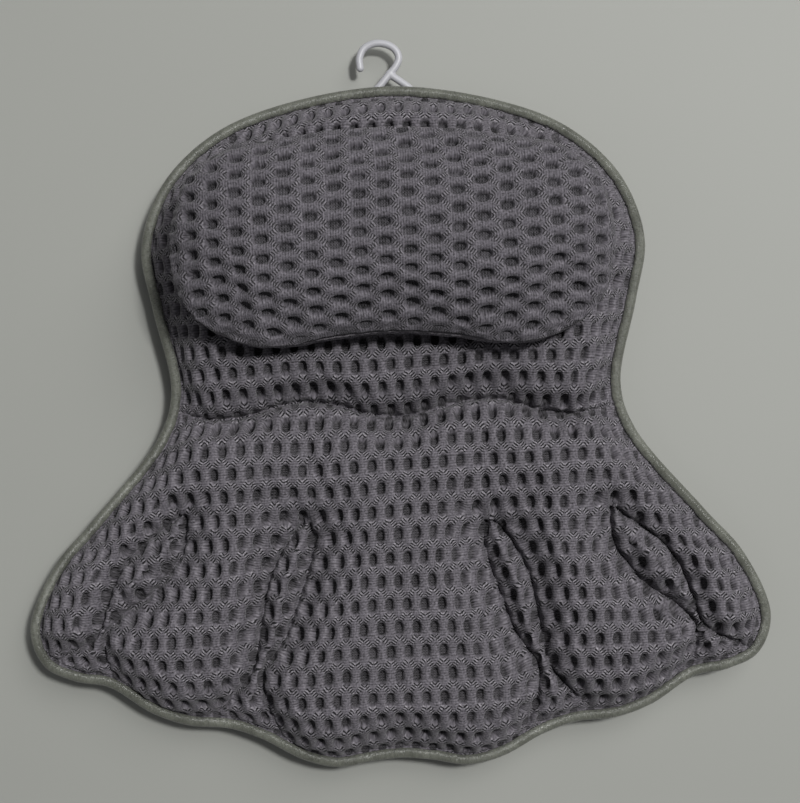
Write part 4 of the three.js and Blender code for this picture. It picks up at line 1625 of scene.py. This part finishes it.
    def wadding(self, section: Section) -> None:
        """Builds the fibre wadding of one section, as high as the cover's dents let it be.

        Args:
            section: Section that it fills.
        """
        plan = self.pillow.plan
        coarse = self.fine // self.stride
        low = lowest(self.top, 3 * self.stride)[:: self.stride, :: self.stride] - self.sunk
        places = plan.places(self.fine)[:: self.stride, :: self.stride]
        split = plan.shoulder_rows * coarse
        upper = slice(split + coarse * plan.fold_rows, None)
        rows = slice(0, split + 1) if section is Section.SHOULDER else upper
        inner = slice(coarse, -coarse)
        places, top = places[rows][inner, inner], low[rows][inner, inner]
        top = np.maximum(top, plan.rim_low + 0.2 * MM)
        top = np.where(plan.from_rim(places) < 3.5 * MM, plan.rim_low + 0.2 * MM, top)

        def shape(flat: Array) -> Array:
            """Places of the wadding, flat below."""
            i, j = counts(flat)
            height = np.where(flat[:, 2] > 0.5, top[i, j], plan.rim_low + 0.1 * MM)
            return self.pillow.seated(np.column_stack([places[i, j], height]))

        cut = flat_cut(places.shape[1] - 1, places.shape[0] - 1, 1)
        piece = shaped(section.value + "_wadding_fill", cut, shape)
        piece.data.materials.append(self.pillow.fibre)
        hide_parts(section.value + "_wadding")
        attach(piece, section.value + "_section")
        self.pillow.report(piece)

    def back(self) -> None:
        """Builds the knitted back panel of both sections, dimpled along its quilting."""
        plan = self.pillow.plan
        places = plan.places(2)
        seams = np.minimum(plan.from_petals(places), plan.from_fold(places))
        dimple = 0.35 * MM * (1 - ease(seams, 0, 4 * MM))
        rows, columns = places.shape[0] - 1, places.shape[1] - 1

        def shape(flat: Array) -> Array:
            """Places of the panel."""
            i, j = counts(flat)
            upper = flat[:, 2] > 0.5
            height = np.where(upper, plan.back_z + 0.8 * MM, plan.back_z + dimple[i, j])
            return self.pillow.seated(np.column_stack([places[i, j], height]))

        piece = shaped("pad_back", flat_cut(columns, rows, 1), shape)
        piece.data.materials.append(self.pillow.backing)
        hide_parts("shoulder_back_panel", "head_back_panel")
        self.pillow.across_fold(piece)
        self.pillow.report(piece)

    def stitching(self) -> None:
        """Builds the rows of stitches that show on the back panel."""
        plan = self.pillow.plan
        bm = bmesh.new()
        for line in plan.stitch_lines + [line * (-1, 1) for line in plan.stitch_lines]:
            smooth = Line(line).at(np.linspace(0, 0.985, 120))
            route = np.column_stack([smooth, np.full(len(smooth), plan.back_z + 0.25 * MM)])
            stitched(bm, self.pillow.seated(route), 3.6 * MM, (2.9 * MM, 0.7 * MM), (0, 0, -1))
        piece = piece_from("quilting_stitches", bm)
        piece.data.materials.append(self.pillow.thread)
        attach(piece, "shoulder_section")
        self.pillow.report(piece)

    def build(self) -> None:
        """Builds the pad's pieces."""
        self.cover()
        self.wadding(Section.SHOULDER)
        self.wadding(Section.HEAD)
        self.back()
        self.stitching()


@dataclass
class Binding:
    """The satin tape folded round the pad's edge, and its row of stitches."""

    pillow: Pillow
    width: float = 6.2 * MM
    half: float = 2.45 * MM
    around: int = 900
    across: int = 44

    def section(self) -> Array:
        """The tape's section: insets from the outline and heights over its middle."""
        knots = [
            (0.0, 0.0), (0.15, 1.2), (0.8, 2.2), (2.0, 2.85), (3.4, 2.9), (4.8, 2.5), (5.75, 1.85),
            (5.9, 1.3), (5.0, 1.25), (2.2, 1.2), (1.25, 0.7), (1.1, 0.0),
        ]
        upper = np.array(knots) * MM
        lower = upper[1:-1][::-1] * (1, -1)
        return catmull_rom(np.vstack([upper, lower]), True, 12)

    def tape_piece(self) -> None:
        """Builds the folded tape, with its lapped end at the left waist."""
        plan = self.pillow.plan
        profile = Line(self.section(), closed=True)
        middle = (plan.back_z + plan.rim_top) / 2
        perimeter = plan.outline.length

        def laid(flat: Array) -> tuple[Array, Array, Array]:
            """Shares round the pillow and round the section, and the section's places there."""
            share = flat[:, 0] / self.around
            around = flat[:, 1] / self.across
            return share, around, profile.at(around)

        def shape(flat: Array) -> Array:
            """Lays the tape, with its puckers.

            Args:
                flat: Flat counts.

            Returns:
                Their places.
            """
            share, _, section = laid(flat)
            run = share * perimeter
            noise = sum(
                a * np.sin(TURN * np.rint(perimeter / p) * share + q)
                for a, p, q in ((0.45, 0.0173, 0.4), (0.3, 0.0091, 2.1), (0.25, 0.0317, 4.0))
            )
            puff = 1 + 0.09 * noise
            lap = ease(np.abs(run - 0.735 * perimeter), 7 * MM, 6 * MM)
            inset = section[:, 0] * (1 + 0.04 * noise) + np.where(section[:, 0] > 2 * MM, 0, -0.15 * MM) * lap
            height = section[:, 1] * puff * (1 + 0.12 * lap)
            place = plan.outline.inset(share, inset)
            return self.pillow.seated(np.column_stack([place, middle + height]))

        def mapped(flat: Array) -> Array:
            """Places along and across the tape."""
            share, around, _ = laid(flat)
            return np.column_stack([share * perimeter, around * profile.length]) * self.pillow.cloth_scale

        cut = flat_cut(self.around, self.across, 1, backed=False)
        piece = shaped("pad_binding", cut, shape, mapped, welded=True)
        piece.data.materials.append(self.pillow.satin)
        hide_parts("shoulder_binding", "head_binding")
        self.pillow.across_fold(piece)
        self.pillow.report(piece)

    def stitches(self) -> None:
        """Builds the stitches along the tape's inner edge, above and below."""
        plan = self.pillow.plan
        middle = (plan.back_z + plan.rim_top) / 2
        bm = bmesh.new()
        share = np.linspace(0, 1, 900)
        line = plan.outline.inset(share, 5.0 * MM)
        for side in (1, -1):
            height = middle + side * 2.42 * MM
            route = self.pillow.seated(np.column_stack([line, np.full(len(line), height)]))
            stitched(bm, route, 3.4 * MM, (2.5 * MM, 0.5 * MM), (0, 0, side))
        piece = piece_from("binding_stitches", bm)
        piece.data.materials.append(self.pillow.thread)
        self.pillow.across_fold(piece)
        self.pillow.report(piece)

    def build(self) -> None:
        """Builds the tape and its stitches."""
        self.tape_piece()
        self.stitches()


@dataclass
class Headrest:
    """The kidney headrest: domed face, side band, seam welt and stuffing."""

    pillow: Pillow
    width: float = 239 * MM
    depth: float = 117 * MM
    height: float = 48 * MM
    seam: float = 22 * MM
    tuck: float = 7 * MM
    offset: float = 106 * MM
    base: float = 44.3 * MM
    roundness: float = 2.05
    taut: float = 0.85
    filling: Filling = Filling(cap=2.5 * MM)
    shares: tuple = (
        (0, 1), (0.323, 0.962), (0.554, 0.886), (0.739, 0.816), (0.855, 0.702), (0.933, 0.504),
        (0.998, 0.031), (0.979, -0.433), (0.878, -0.782), (0.762, -0.915), (0.637, -1),
        (0.462, -1), (0.3, -0.948), (0, -0.896),
    )
    upper_corner: tuple = (0.86, 0.69)
    lower_corner: tuple = (0.9, -0.74)
    columns: int = 56
    rows: int = 30
    fine: int = 8
    stretch: tuple = (1.0, 10.3 / 9.85)
    hole_at: tuple = (-55.4 * MM, 87.1 * MM)
    overhang: float = 2.3 * MM

    def __post_init__(self) -> None:
        """Draws the headrest's outline about its own middle."""
        half = np.array(self.shares) * (self.width / 2, self.depth / 2)
        mirrored = half[1:-1][::-1] * (-1, 1)
        self.outline = Line(catmull_rom(np.vstack([half, mirrored]), True), closed=True)
        self.rim_line = self.outline.at(np.linspace(0, 1, 241))
        reach = (self.width - self.depth) / 2
        self.spine = np.array([[-reach, 0.0], [reach, 0.0]])

    def plan_places(self, fine: int) -> Array:
        """Lays a patch between the outline's four sides.

        Args:
            fine: Fine steps for each coarse column and row.

        Returns:
            Plan places of the face.
        """
        upper = self.outline.nearest(np.array(self.upper_corner) * (self.width / 2, self.depth / 2))
        lower = self.outline.nearest(np.array(self.lower_corner) * (self.width / 2, self.depth / 2))
        u, v = np.meshgrid(crowded(self.columns * fine, 0.85), crowded(self.rows * fine, 0.85))
        top = self.outline.at(upper * (2 * u - 1))
        bottom = self.outline.at(1 - lower + (2 * lower - 1) * u)
        right = self.outline.at(lower + (upper - lower) * v)
        left = self.outline.at(1 - lower + (lower - upper) * v)
        corner = [self.outline.at(s) for s in (1 - lower, lower, 1 - upper, upper)]
        u, v = u[..., None], v[..., None]
        mix = (corner[0] * (1 - u) + corner[1] * u) * (1 - v) + (corner[2] * (1 - u) + corner[3] * u) * v
        return bottom * (1 - v) + top * v + left * (1 - u) + right * u - mix

    def dome(self, places: Array) -> Array:
        """Height of the face over its seam at plan places."""
        edge, middle = distance_to(self.rim_line, places), distance_to(self.spine, places)
        draw = edge / np.maximum(edge + middle, 1e-9)
        full = 1 - (1 - draw) ** self.roundness
        return (self.height - self.seam) * full ** (1 / self.roundness)

    def face(self) -> None:
        """Builds the domed face, its cloth turned a quarter."""
        places = self.plan_places(self.fine)
        edge = distance_to(self.rim_line, places)
        level = self.base + self.seam
        face = np.concatenate([places, (level + self.dome(places))[..., None]], -1)
        coarse = self.plan_places(2)
        start = np.concatenate([coarse, (level + 0.94 * self.dome(coarse))[..., None]], -1)
        held = distance_to(self.rim_line, coarse) < 0.3 * MM
        face += spread(inflated(start, held, self.filling)[::2, ::2], self.fine)
        reach = (self.width / 2 + 2 * MM, self.depth / 2 + 2 * MM)

        def near(p: Array) -> Array:
            """Which plan places the cloth is measured on."""
            return distance_to(self.spine, p) < self.depth / 2 + 8 * MM

        laid = ClothMap(self.dome, near, (-reach[0], -reach[1]), reach, 0.0)
        on_spine = np.clip(places[..., 0], self.spine[0, 0], self.spine[1, 0])
        from_spine = places - np.stack([on_spine, 0 * edge], -1)
        outward = from_spine / np.maximum(np.linalg.norm(from_spine, axis=-1, keepdims=True), 1e-9)
        rolled = self.overhang * ease(edge, 0, 1.2 * MM) * (1 - ease(edge, 1.2 * MM, 15 * MM))
        face[..., :2] += outward * rolled[..., None]
        cloth = laid.at(places) - (np.array(self.hole_at) - (0, self.offset))
        turned = np.stack([-cloth[..., 1] / self.stretch[1], cloth[..., 0] / self.stretch[0]], -1)
        turned = self.pillow.knit.straight(turned, self.pillow.knit.grain)
        relief = self.taut * self.pillow.knit.relief(turned) * ease(edge, 1.5 * MM, 7 * MM)
        pinch = np.exp(-((edge / (6 * MM)) ** 2)) * ease(edge, 0, 1.5 * MM)
        share = np.arctan2(places[..., 1] / self.depth, places[..., 0] / self.width)
        relief += 0.35 * MM * pinch * (np.sin(61 * share) + 0.6 * np.sin(97 * share + 1))
        face += normals_of(face) * relief[..., None]
        grid = face + (0, self.offset, 0)

        def shape(flat: Array) -> Array:
            """Places of the face."""
            moved = grid[counts(flat)]
            moved[flat[:, 2] < 0.5, 2] = level - 0.2 * MM
            return self.pillow.seated(moved)

        def mapped(flat: Array) -> Array:
            """Its places on the cloth."""
            return turned[counts(flat)] * self.pillow.cloth_scale

        piece = shaped("headrest_cushion", flat_cut(self.columns, self.rows, self.fine), shape, mapped)
        # The face wears the headrest's retoned copy of the mesh, with its painted light and shade.
        piece.data.materials.append(self.pillow.headrest_painted_light_cloth)
        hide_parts("headrest_face")
        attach(piece, "head_section")
        self.pillow.report(piece)

    def band(self) -> None:
        """Builds the side band from the pad up to the face's seam."""
        around, across = 560, 52
        thickness = 3.2 * MM
        perimeter = self.outline.length

        def rising(flat: Array) -> tuple[Array, Array, Array]:
            """Share round the headrest, share up the band, and whether it is the outside."""
            share, level = flat[:, 0] / around, flat[:, 1] / across
            outer = level <= 0.5
            rise = np.where(outer, level * 2, (1 - level) * 2)
            return share, rise, outer

        foot = self.base - self.pillow.plan.foot_sink

        def shape(flat: Array) -> Array:
            """Lays the band, with its dents.

            Args:
                flat: Flat counts.

            Returns:
                Their places.
            """
            share, rise, outer = rising(flat)
            bulge = 1.4 * MM * np.sin(math.pi * rise)
            inset = (self.tuck + 3 * MM) * (1 - rise) ** 2 - bulge + np.where(outer, 0, thickness)
            place = self.outline.inset(share, inset)
            run = np.stack([share * perimeter, rise * self.seam], -1)
            turned = np.stack([run[:, 1], run[:, 0]], -1)
            relief = self.pillow.knit.relief(turned) * ease(rise, 0.02, 0.15) * ease(rise, 0.98, 0.85)
            place = self.outline.inset(share, inset - np.where(outer, relief, 0))
            height = foot + (self.base + self.seam - foot) * rise
            return self.pillow.seated(np.column_stack([place + (0, self.offset), height]))

        def mapped(flat: Array) -> Array:
            """Its places on the cloth."""
            share, rise, _ = rising(flat)
            return np.column_stack([rise * self.seam, share * perimeter]) * self.pillow.cloth_scale

        cut = flat_cut(around, across, 1, backed=False)
        piece = shaped("headrest_gusset", cut, shape, mapped, welded=True)
        piece.data.materials.append(self.pillow.mesh_cloth)
        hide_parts("headrest_side_band")
        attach(piece, "head_section")
        self.pillow.report(piece)

    def welt(self) -> None:
        """Builds the turned seam allowance that stands up along the face's seam."""
        around, across = 480, 12

        def shape(flat: Array) -> Array:
            """Places of the welt, with its puckers."""
            share, turn = flat[:, 0] / around, flat[:, 1] / across * TURN
            puff = 1 + 0.18 * np.sin(TURN * 157 * share) + 0.1 * np.sin(TURN * 61 * share)
            inset = -0.1 * MM - 0.95 * MM * puff * np.cos(turn)
            place = self.outline.inset(share, inset) + (0, self.offset)
            height = self.base + self.seam + 1.1 * MM * puff * np.sin(turn)
            return self.pillow.seated(np.column_stack([place, height]))

        def mapped(flat: Array) -> Array:
            """Places along and round it."""
            run, turn = flat[:, 0] / around * self.outline.length, flat[:, 1] * 0.4 * MM
            return np.column_stack([run, turn]) * self.pillow.cloth_scale

        piece = shaped("headrest_welt", flat_cut(around, across, 1, backed=False), shape, mapped, welded=True)
        piece.data.materials.append(self.pillow.piping)
        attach(piece, "head_section")
        self.pillow.report(piece)

    def stuffing(self) -> None:
        """Builds the fibre stuffing inside the headrest."""
        places = self.plan_places(1) * (0.93, 0.87)
        rise = 0.74 * self.dome(places / (0.93, 0.87))

        def shape(flat: Array) -> Array:
            """Places of the stuffing."""
            i, j = counts(flat)
            upper = flat[:, 2] > 0.5
            height = np.where(upper, self.base + self.seam - 4.5 * MM + rise[i, j], self.base + 0.4 * MM)
            plan_place = places[i, j] * np.where(upper, 1, 0.94)[:, None] + (0, self.offset)
            return self.pillow.seated(np.column_stack([plan_place, height]))

        piece = shaped("headrest_stuffing_fill", flat_cut(self.columns, self.rows, 1), shape)
        piece.data.materials.append(self.pillow.fibre)
        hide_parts("headrest_stuffing")
        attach(piece, "head_section")
        self.pillow.report(piece)

    def build(self) -> None:
        """Builds the headrest's pieces."""
        self.face()
        self.band()
        self.welt()
        self.stuffing()


@dataclass
class Cups:
    """The clear suction cups and the straps that hold them."""

    pillow: Pillow
    radius: float = 26 * MM
    dome: float = 13 * MM
    strap_length: float = 42 * MM
    strap_width: float = 20 * MM
    strap_z: float = 13.3 * MM
    strap_thickness: float = 1.2 * MM
    pocket: float = 10 * MM
    hole: float = 3.8 * MM

    def cup(self, name: str, body: str, centre: Vector) -> None:
        """Builds one cup, turned about its own axis.

        Args:
            name: Name of the CAD node that it stands for.
            body: Body that it rides on.
            centre: The cup's axis in plan.
        """
        outer = [
            (23.75, 0.0), (24.9, 0.02), (25.8, 0.25), (26.0, 0.7), (25.6, 1.2), (24.6, 1.55), (22.4, 2.9),
            (19.2, 5.2), (15.6, 7.9), (12.2, 9.9), (9.6, 11.2), (8.1, 12.1), (7.5, 12.7), (6.9, 13.0),
            (4.4, 13.0), (3.6, 13.2), (3.5, 13.7), (3.5, 14.5), (4.2, 14.8), (6.3, 15.0), (7.0, 15.6),
            (6.8, 16.7), (5.6, 17.6), (3.2, 17.8), (0.0, 17.8),
        ]
        inner = [(0.0, 7.0), (5.0, 6.9), (11.0, 6.2), (16.5, 4.5), (20.5, 2.3), (23.0, 0.55), (23.75, 0.0)]
        smooth = [catmull_rom(np.array(knots), False, 4) for knots in (inner, outer)]
        profile = np.vstack([smooth[0], smooth[1][1:]])
        bm = bmesh.new()
        verts = [bm.verts.new((max(r, 0) * MM, 0, max(z, 0) * MM)) for r, z in profile]
        edges = [bm.edges.new(pair) for pair in zip(verts[:-1], verts[1:])]
        bmesh.ops.spin(
            bm, geom=verts + edges, cent=(0, 0, 0), axis=(0, 0, 1), angle=TURN, steps=72, use_merge=True
        )
        bmesh.ops.remove_doubles(bm, verts=bm.verts, dist=1e-6)
        bmesh.ops.recalc_face_normals(bm, faces=bm.faces)
        bmesh.ops.translate(bm, verts=bm.verts, vec=(centre.x, centre.y, 0))
        piece = piece_from(name + "_clear", bm)
        piece.data.materials.append(self.pillow.vinyl)
        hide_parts(name)
        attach(piece, body)
        self.pillow.report(piece)

    def strap_height(self, x: Array) -> Array:
        """Height of the strap's underside along its length, from its middle."""
        high = self.pillow.plan.back_z - 0.3 * MM - self.strap_thickness
        rise = high - self.strap_z
        return self.strap_z + rise * ease(np.abs(x), self.pocket - 1 * MM, self.pocket + rise + 2 * MM)

    def strap(self, name: str, body: str, centre: Vector) -> None:
        """Builds one strap: a tape with a hole for the cup's neck, sewn flat at both ends.

        Args:
            name: Name of the CAD node that it stands for.
            body: Body that it rides on.
            centre: Middle of the strap in plan.
        """
        around, across = 96, 20
        half = np.array([self.strap_length / 2, self.strap_width / 2])

        def shape(flat: Array) -> Array:
            """Lays the strap, round its hole.

            Args:
                flat: Flat counts.

            Returns:
                Their places.
            """
            turn, level = flat[:, 0] / around * TURN, flat[:, 1] / across
            way = np.column_stack([np.cos(turn), np.sin(turn)])
            power = np.abs(way / half) ** 9
            rim = way / (power.sum(1) ** (1 / 9))[:, None]
            upper = level <= 0.5
            spread_share = np.clip(np.where(upper, level * 2, (1 - level) * 2), 0, 1)
            hole = way * self.hole
            plan_place = hole + (rim - hole) * spread_share[:, None]
            edge = 1 - ease(spread_share, 0.0, 0.06) * ease(spread_share, 1.0, 0.95)
            side = np.where(upper, 1, 0) * (1 - 0.35 * edge) + np.where(upper, 0, 1) * 0.35 * edge
            height = self.strap_height(plan_place[:, 0]) + side * self.strap_thickness
            return np.column_stack([plan_place + (centre.x, centre.y), height])

        def mapped(flat: Array) -> Array:
            """Places along and across it."""
            return shape(flat)[:, :2] * self.pillow.cloth_scale

        piece = shaped(name + "_tape", flat_cut(around, across, 1, backed=False), shape, mapped, welded=True)
        piece.data.materials.append(self.pillow.webbing)
        piece.data.materials.append(self.pillow.thread)
        self.sew(piece, centre)
        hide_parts(name)
        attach(piece, body)
        self.pillow.report(piece)

    def sew(self, piece: bpy.types.Object, centre: Vector) -> None:
        """Adds a box of stitches to both ends of a strap.

        Args:
            piece: The strap.
            centre: Its middle in plan.
        """
        under = self.pillow.plan.back_z - 0.3 * MM - self.strap_thickness - 0.05 * MM
        routes: list[Array] = []
        for side in (-1, 1):
            x0, x1, y = side * 14.6 * MM, side * 19.4 * MM, 8 * MM
            corners = np.array([(x0, -y), (x1, -y), (x1, y), (x0, y), (x0, -y)]) + (centre.x, centre.y)
            box = np.column_stack([corners, np.full(5, under)])
            routes += [box[k : k + 2] for k in range(4)]
        sewn_on(piece, routes, 2.3 * MM, (1.8 * MM, 0.5 * MM))

    def build(self) -> None:
        """Builds every cup and strap at its CAD node's place."""
        for node in sorted(frame["nodes"]):
            low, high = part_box(node)
            centre = (low + high) / 2
            body = frame["nodes"][node]["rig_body"]
            if node.startswith("suction_cup_"):
                self.cup(node, body, centre)
            if node.startswith("cup_strap_"):
                self.strap(node, body, centre)


@dataclass
class Hanger:
    """The moulded hook and the tape loop that it swings in."""

    pillow: Pillow
    wire: float = 4.2 * MM
    width: float = 27.3 * MM
    reach: float = 33.6 * MM
    shrink: float = 0.12 * MM
    loop_width: float = 15 * MM
    loop_tape: float = 1 * MM
    loop_tail: float = 16 * MM
    curl: tuple = (
        (-1.26, 0.54), (-1.29, 0.7), (-1.11, 0.87), (-0.72, 0.96), (-0.38, 0.97), (0, 0.93),
        (0.3, 0.83), (0.4, 0.7), (0.26, 0.56), (-0.04, 0.42), (-0.47, 0.21), (-0.86, 0.06),
        (-0.76, 0), (-0.6, 0), (0, 0), (0.6, 0), (0.8, 0), (0.98, 0.03),
    )
    leg: tuple = ((0.98, 0.03), (1.0, 0.09), (0.8, 0.19), (0.1, 0.4), (-0.02, 0.44))

    def rod(self, shares: Sequence) -> bpy.types.Object:
        """Makes a round rod with rounded ends.

        Args:
            shares: Knots of its route, in shares of the hook's half width and reach.

        Returns:
            The rod.
        """
        radius = self.wire / 2 + self.shrink
        route = catmull_rom(np.array(shares) * (self.width / 2, self.reach), False, 10)
        curve = bpy.data.curves.new("rod", "CURVE")
        curve.dimensions = "3D"
        curve.bevel_depth = radius
        curve.bevel_resolution = 5
        spline = curve.splines.new("POLY")
        spline.points.add(len(route) - 1)
        for point, (x, y) in zip(spline.points, route):
            point.co = (x, y, 0, 1)
        obj = bpy.data.objects.new("rod", curve)
        bpy.context.scene.collection.objects.link(obj)
        bpy.context.view_layer.update()
        mesh = bpy.data.meshes.new_from_object(obj.evaluated_get(bpy.context.evaluated_depsgraph_get()))
        bpy.data.objects.remove(obj)
        bm = bmesh.new()
        bm.from_mesh(mesh)
        for x, y in (route[0], route[-1]):
            matrix = Matrix.Translation((x, y, 0))
            bmesh.ops.create_uvsphere(bm, u_segments=20, v_segments=12, radius=radius, matrix=matrix)
        bmesh.ops.holes_fill(bm, edges=bm.edges, sides=0)
        return piece_from("rod", bm)

    def hook(self) -> None:
        """Builds the hook: curl, stem and three-cornered eye, moulded as one."""
        bm = bmesh.new()
        for part in (self.rod(self.curl), self.rod(self.leg)):
            bm.from_mesh(part.data)
            bpy.data.objects.remove(part)
        piece = piece_from("moulded_hook", bm)
        modifier = piece.modifiers.new("Remesh", "REMESH")
        modifier.mode = "VOXEL"
        modifier.voxel_size = 0.42 * MM
        fused = bpy.data.meshes.new_from_object(piece.evaluated_get(bpy.context.evaluated_depsgraph_get()))
        bpy.data.objects.remove(piece)
        bm = bmesh.new()
        bm.from_mesh(fused)
        for _ in range(4):
            bmesh.ops.smooth_vert(
                bm, verts=bm.verts, factor=0.5, use_axis_x=True, use_axis_y=True, use_axis_z=True
            )
        bmesh.ops.translate(bm, verts=bm.verts, vec=(0, self.pillow.hook_y, self.pillow.hook_z))
        piece = piece_from("moulded_hook", bm)
        piece.data.materials.append(self.pillow.plastic)
        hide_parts("hook")
        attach(piece, "hook")
        self.pillow.report(piece)

    def loop(self) -> None:
        """Builds the tape round the hook's bar, its two plies sewn along the back panel."""
        ring = 2.92
        high = self.pillow.plan.back_z / MM - 0.3 - self.pillow.hook_z / MM
        angles = np.radians(np.linspace(105, -205, 18))
        route = np.vstack([
            [(-self.loop_tail / MM, high - 0.5), (-9, high - 0.5), (-4.6, high - 0.55)],
            np.column_stack([np.cos(angles), np.sin(angles)]) * ring,
            [(-5.2, high - 1.75), (-9, high - 1.55), (-self.loop_tail / MM, high - 1.55)],
        ])
        line = Line(catmull_rom(route * MM, False, 6))
        along, across = 90, 24
        bar_y = self.pillow.hook_y

        def shape(flat: Array) -> Array:
            """Places of the tape."""
            share, side = flat[:, 0] / along, flat[:, 1] / across - 0.5
            place, way = line.at(share), line.along(share)
            edge = 1 - 0.3 * ease(np.abs(side), 0.44, 0.5)
            lift = np.where(flat[:, 2] > 0.5, 0.5, -0.5) * self.loop_tape * 0.92 * edge
            y = place[:, 0] - way[:, 1] * lift
            z = place[:, 1] + way[:, 0] * lift
            return np.column_stack([side * self.loop_width, y + bar_y, z + self.pillow.hook_z])

        def mapped(flat: Array) -> Array:
            """Places along and across it."""
            run, side = flat[:, 0] / along * line.length, flat[:, 1] / across * self.loop_width
            return np.column_stack([run, side]) * self.pillow.cloth_scale

        piece = shaped("hook_loop_tape", flat_cut(along, across, 1), shape, mapped)
        piece.data.materials.append(self.pillow.webbing)
        piece.data.materials.append(self.pillow.thread)
        under = self.pillow.hook_z + (high - 2.1) * MM
        routes = [
            np.array([(-6 * MM, bar_y + y, under), (6 * MM, bar_y + y, under)])
            for y in (-8 * MM, -13.5 * MM)
        ]
        sewn_on(piece, routes, 2.2 * MM, (1.7 * MM, 0.5 * MM))
        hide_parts("hanging_loop")
        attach(piece, "head_section")
        self.pillow.report(piece)

    def build(self) -> None:
        """Builds the hook and its loop."""
        self.hook()
        self.loop()


# The studio


@dataclass
class Studio:
    """Camera, floor and light."""

    distance: float = 0.885
    rim_level: float = 0.019
    covered: float = 0.4665
    roll: float = math.radians(-1.15)
    centre: tuple = (0.0022, -0.0002)
    floor_colour: tuple = (0.345, 0.35, 0.322, 1)
    sky: tuple = (0.95, 0.97, 1, 1)
    sky_strength: float = 0.12
    lamps: tuple = (
        ("key", (0.98, 0.72, 2.9), 0.36, 64),
        ("window", (1.7, 2.2, 3.3), 2.6, 65),
        ("fill", (-1.3, -0.6, 1.6), 1.2, 1.5),
    )

    def camera(self) -> None:
        """Looks straight down on the pillow, as the photograph does."""
        data = bpy.data.cameras.new("camera")
        data.sensor_width = 36
        data.lens = data.sensor_width * self.distance / self.covered
        data.clip_end = 20
        camera = bpy.data.objects.new("camera", data)
        bpy.context.scene.collection.objects.link(camera)
        camera.location = (*self.centre, self.distance + self.rim_level)
        camera.rotation_euler = (0, 0, self.roll)
        bpy.context.scene.camera = camera

    def floor(self) -> None:
        """A plain pale floor."""
        bm = bmesh.new()
        bmesh.ops.create_grid(bm, x_segments=1, y_segments=1, size=3)
        floor = piece_from("floor", bm)
        material, ink, shader = new_material("pale_floor")
        place = ink.node("ShaderNodeTexCoord").outputs["Object"]
        soft = ink.noise(place, 4, 2)
        colour = ink.mix(soft, toned(self.floor_colour, 0.94), self.floor_colour)
        ink.fill(shader, Base_Color=colour, Roughness=0.6)
        floor.data.materials.append(material)

    def lamp(self, name: str, place: Sequence[float], size: float, power: float) -> None:
        """Hangs a square soft light that faces the pillow.

        Args:
            name: Name of the lamp.
            place: Where it hangs.
            size: Length of its side.
            power: Its power in watts.
        """
        data = bpy.data.lights.new(name, "AREA")
        data.size = size
        data.energy = power
        lamp = bpy.data.objects.new(name, data)
        bpy.context.scene.collection.objects.link(lamp)
        lamp.location = place
        lamp.rotation_euler = (Vector((0, 0, 0.03)) - Vector(place)).to_track_quat("-Z", "Y").to_euler()

    def build(self) -> None:
        """Sets the studio up."""
        self.camera()
        self.floor()
        for lamp in self.lamps:
            self.lamp(*lamp)
        world = bpy.data.worlds.new("room")
        world.use_nodes = True
        world.node_tree.nodes["Background"].inputs["Color"].default_value = self.sky
        world.node_tree.nodes["Background"].inputs["Strength"].default_value = self.sky_strength
        bpy.context.scene.world = world
        bpy.context.scene.view_settings.view_transform = "Standard"


def main() -> None:
    """Builds the studio and the pillow in order."""
    logging.basicConfig(level=logging.INFO, format="%(name)s %(relativeCreated)d: %(message)s")
    Studio().build()
    pillow = Pillow()
    for assembly in (Pad, Binding, Headrest, Cups, Hanger):
        assembly(pillow).build()


if __name__ == "__main__":
    main()
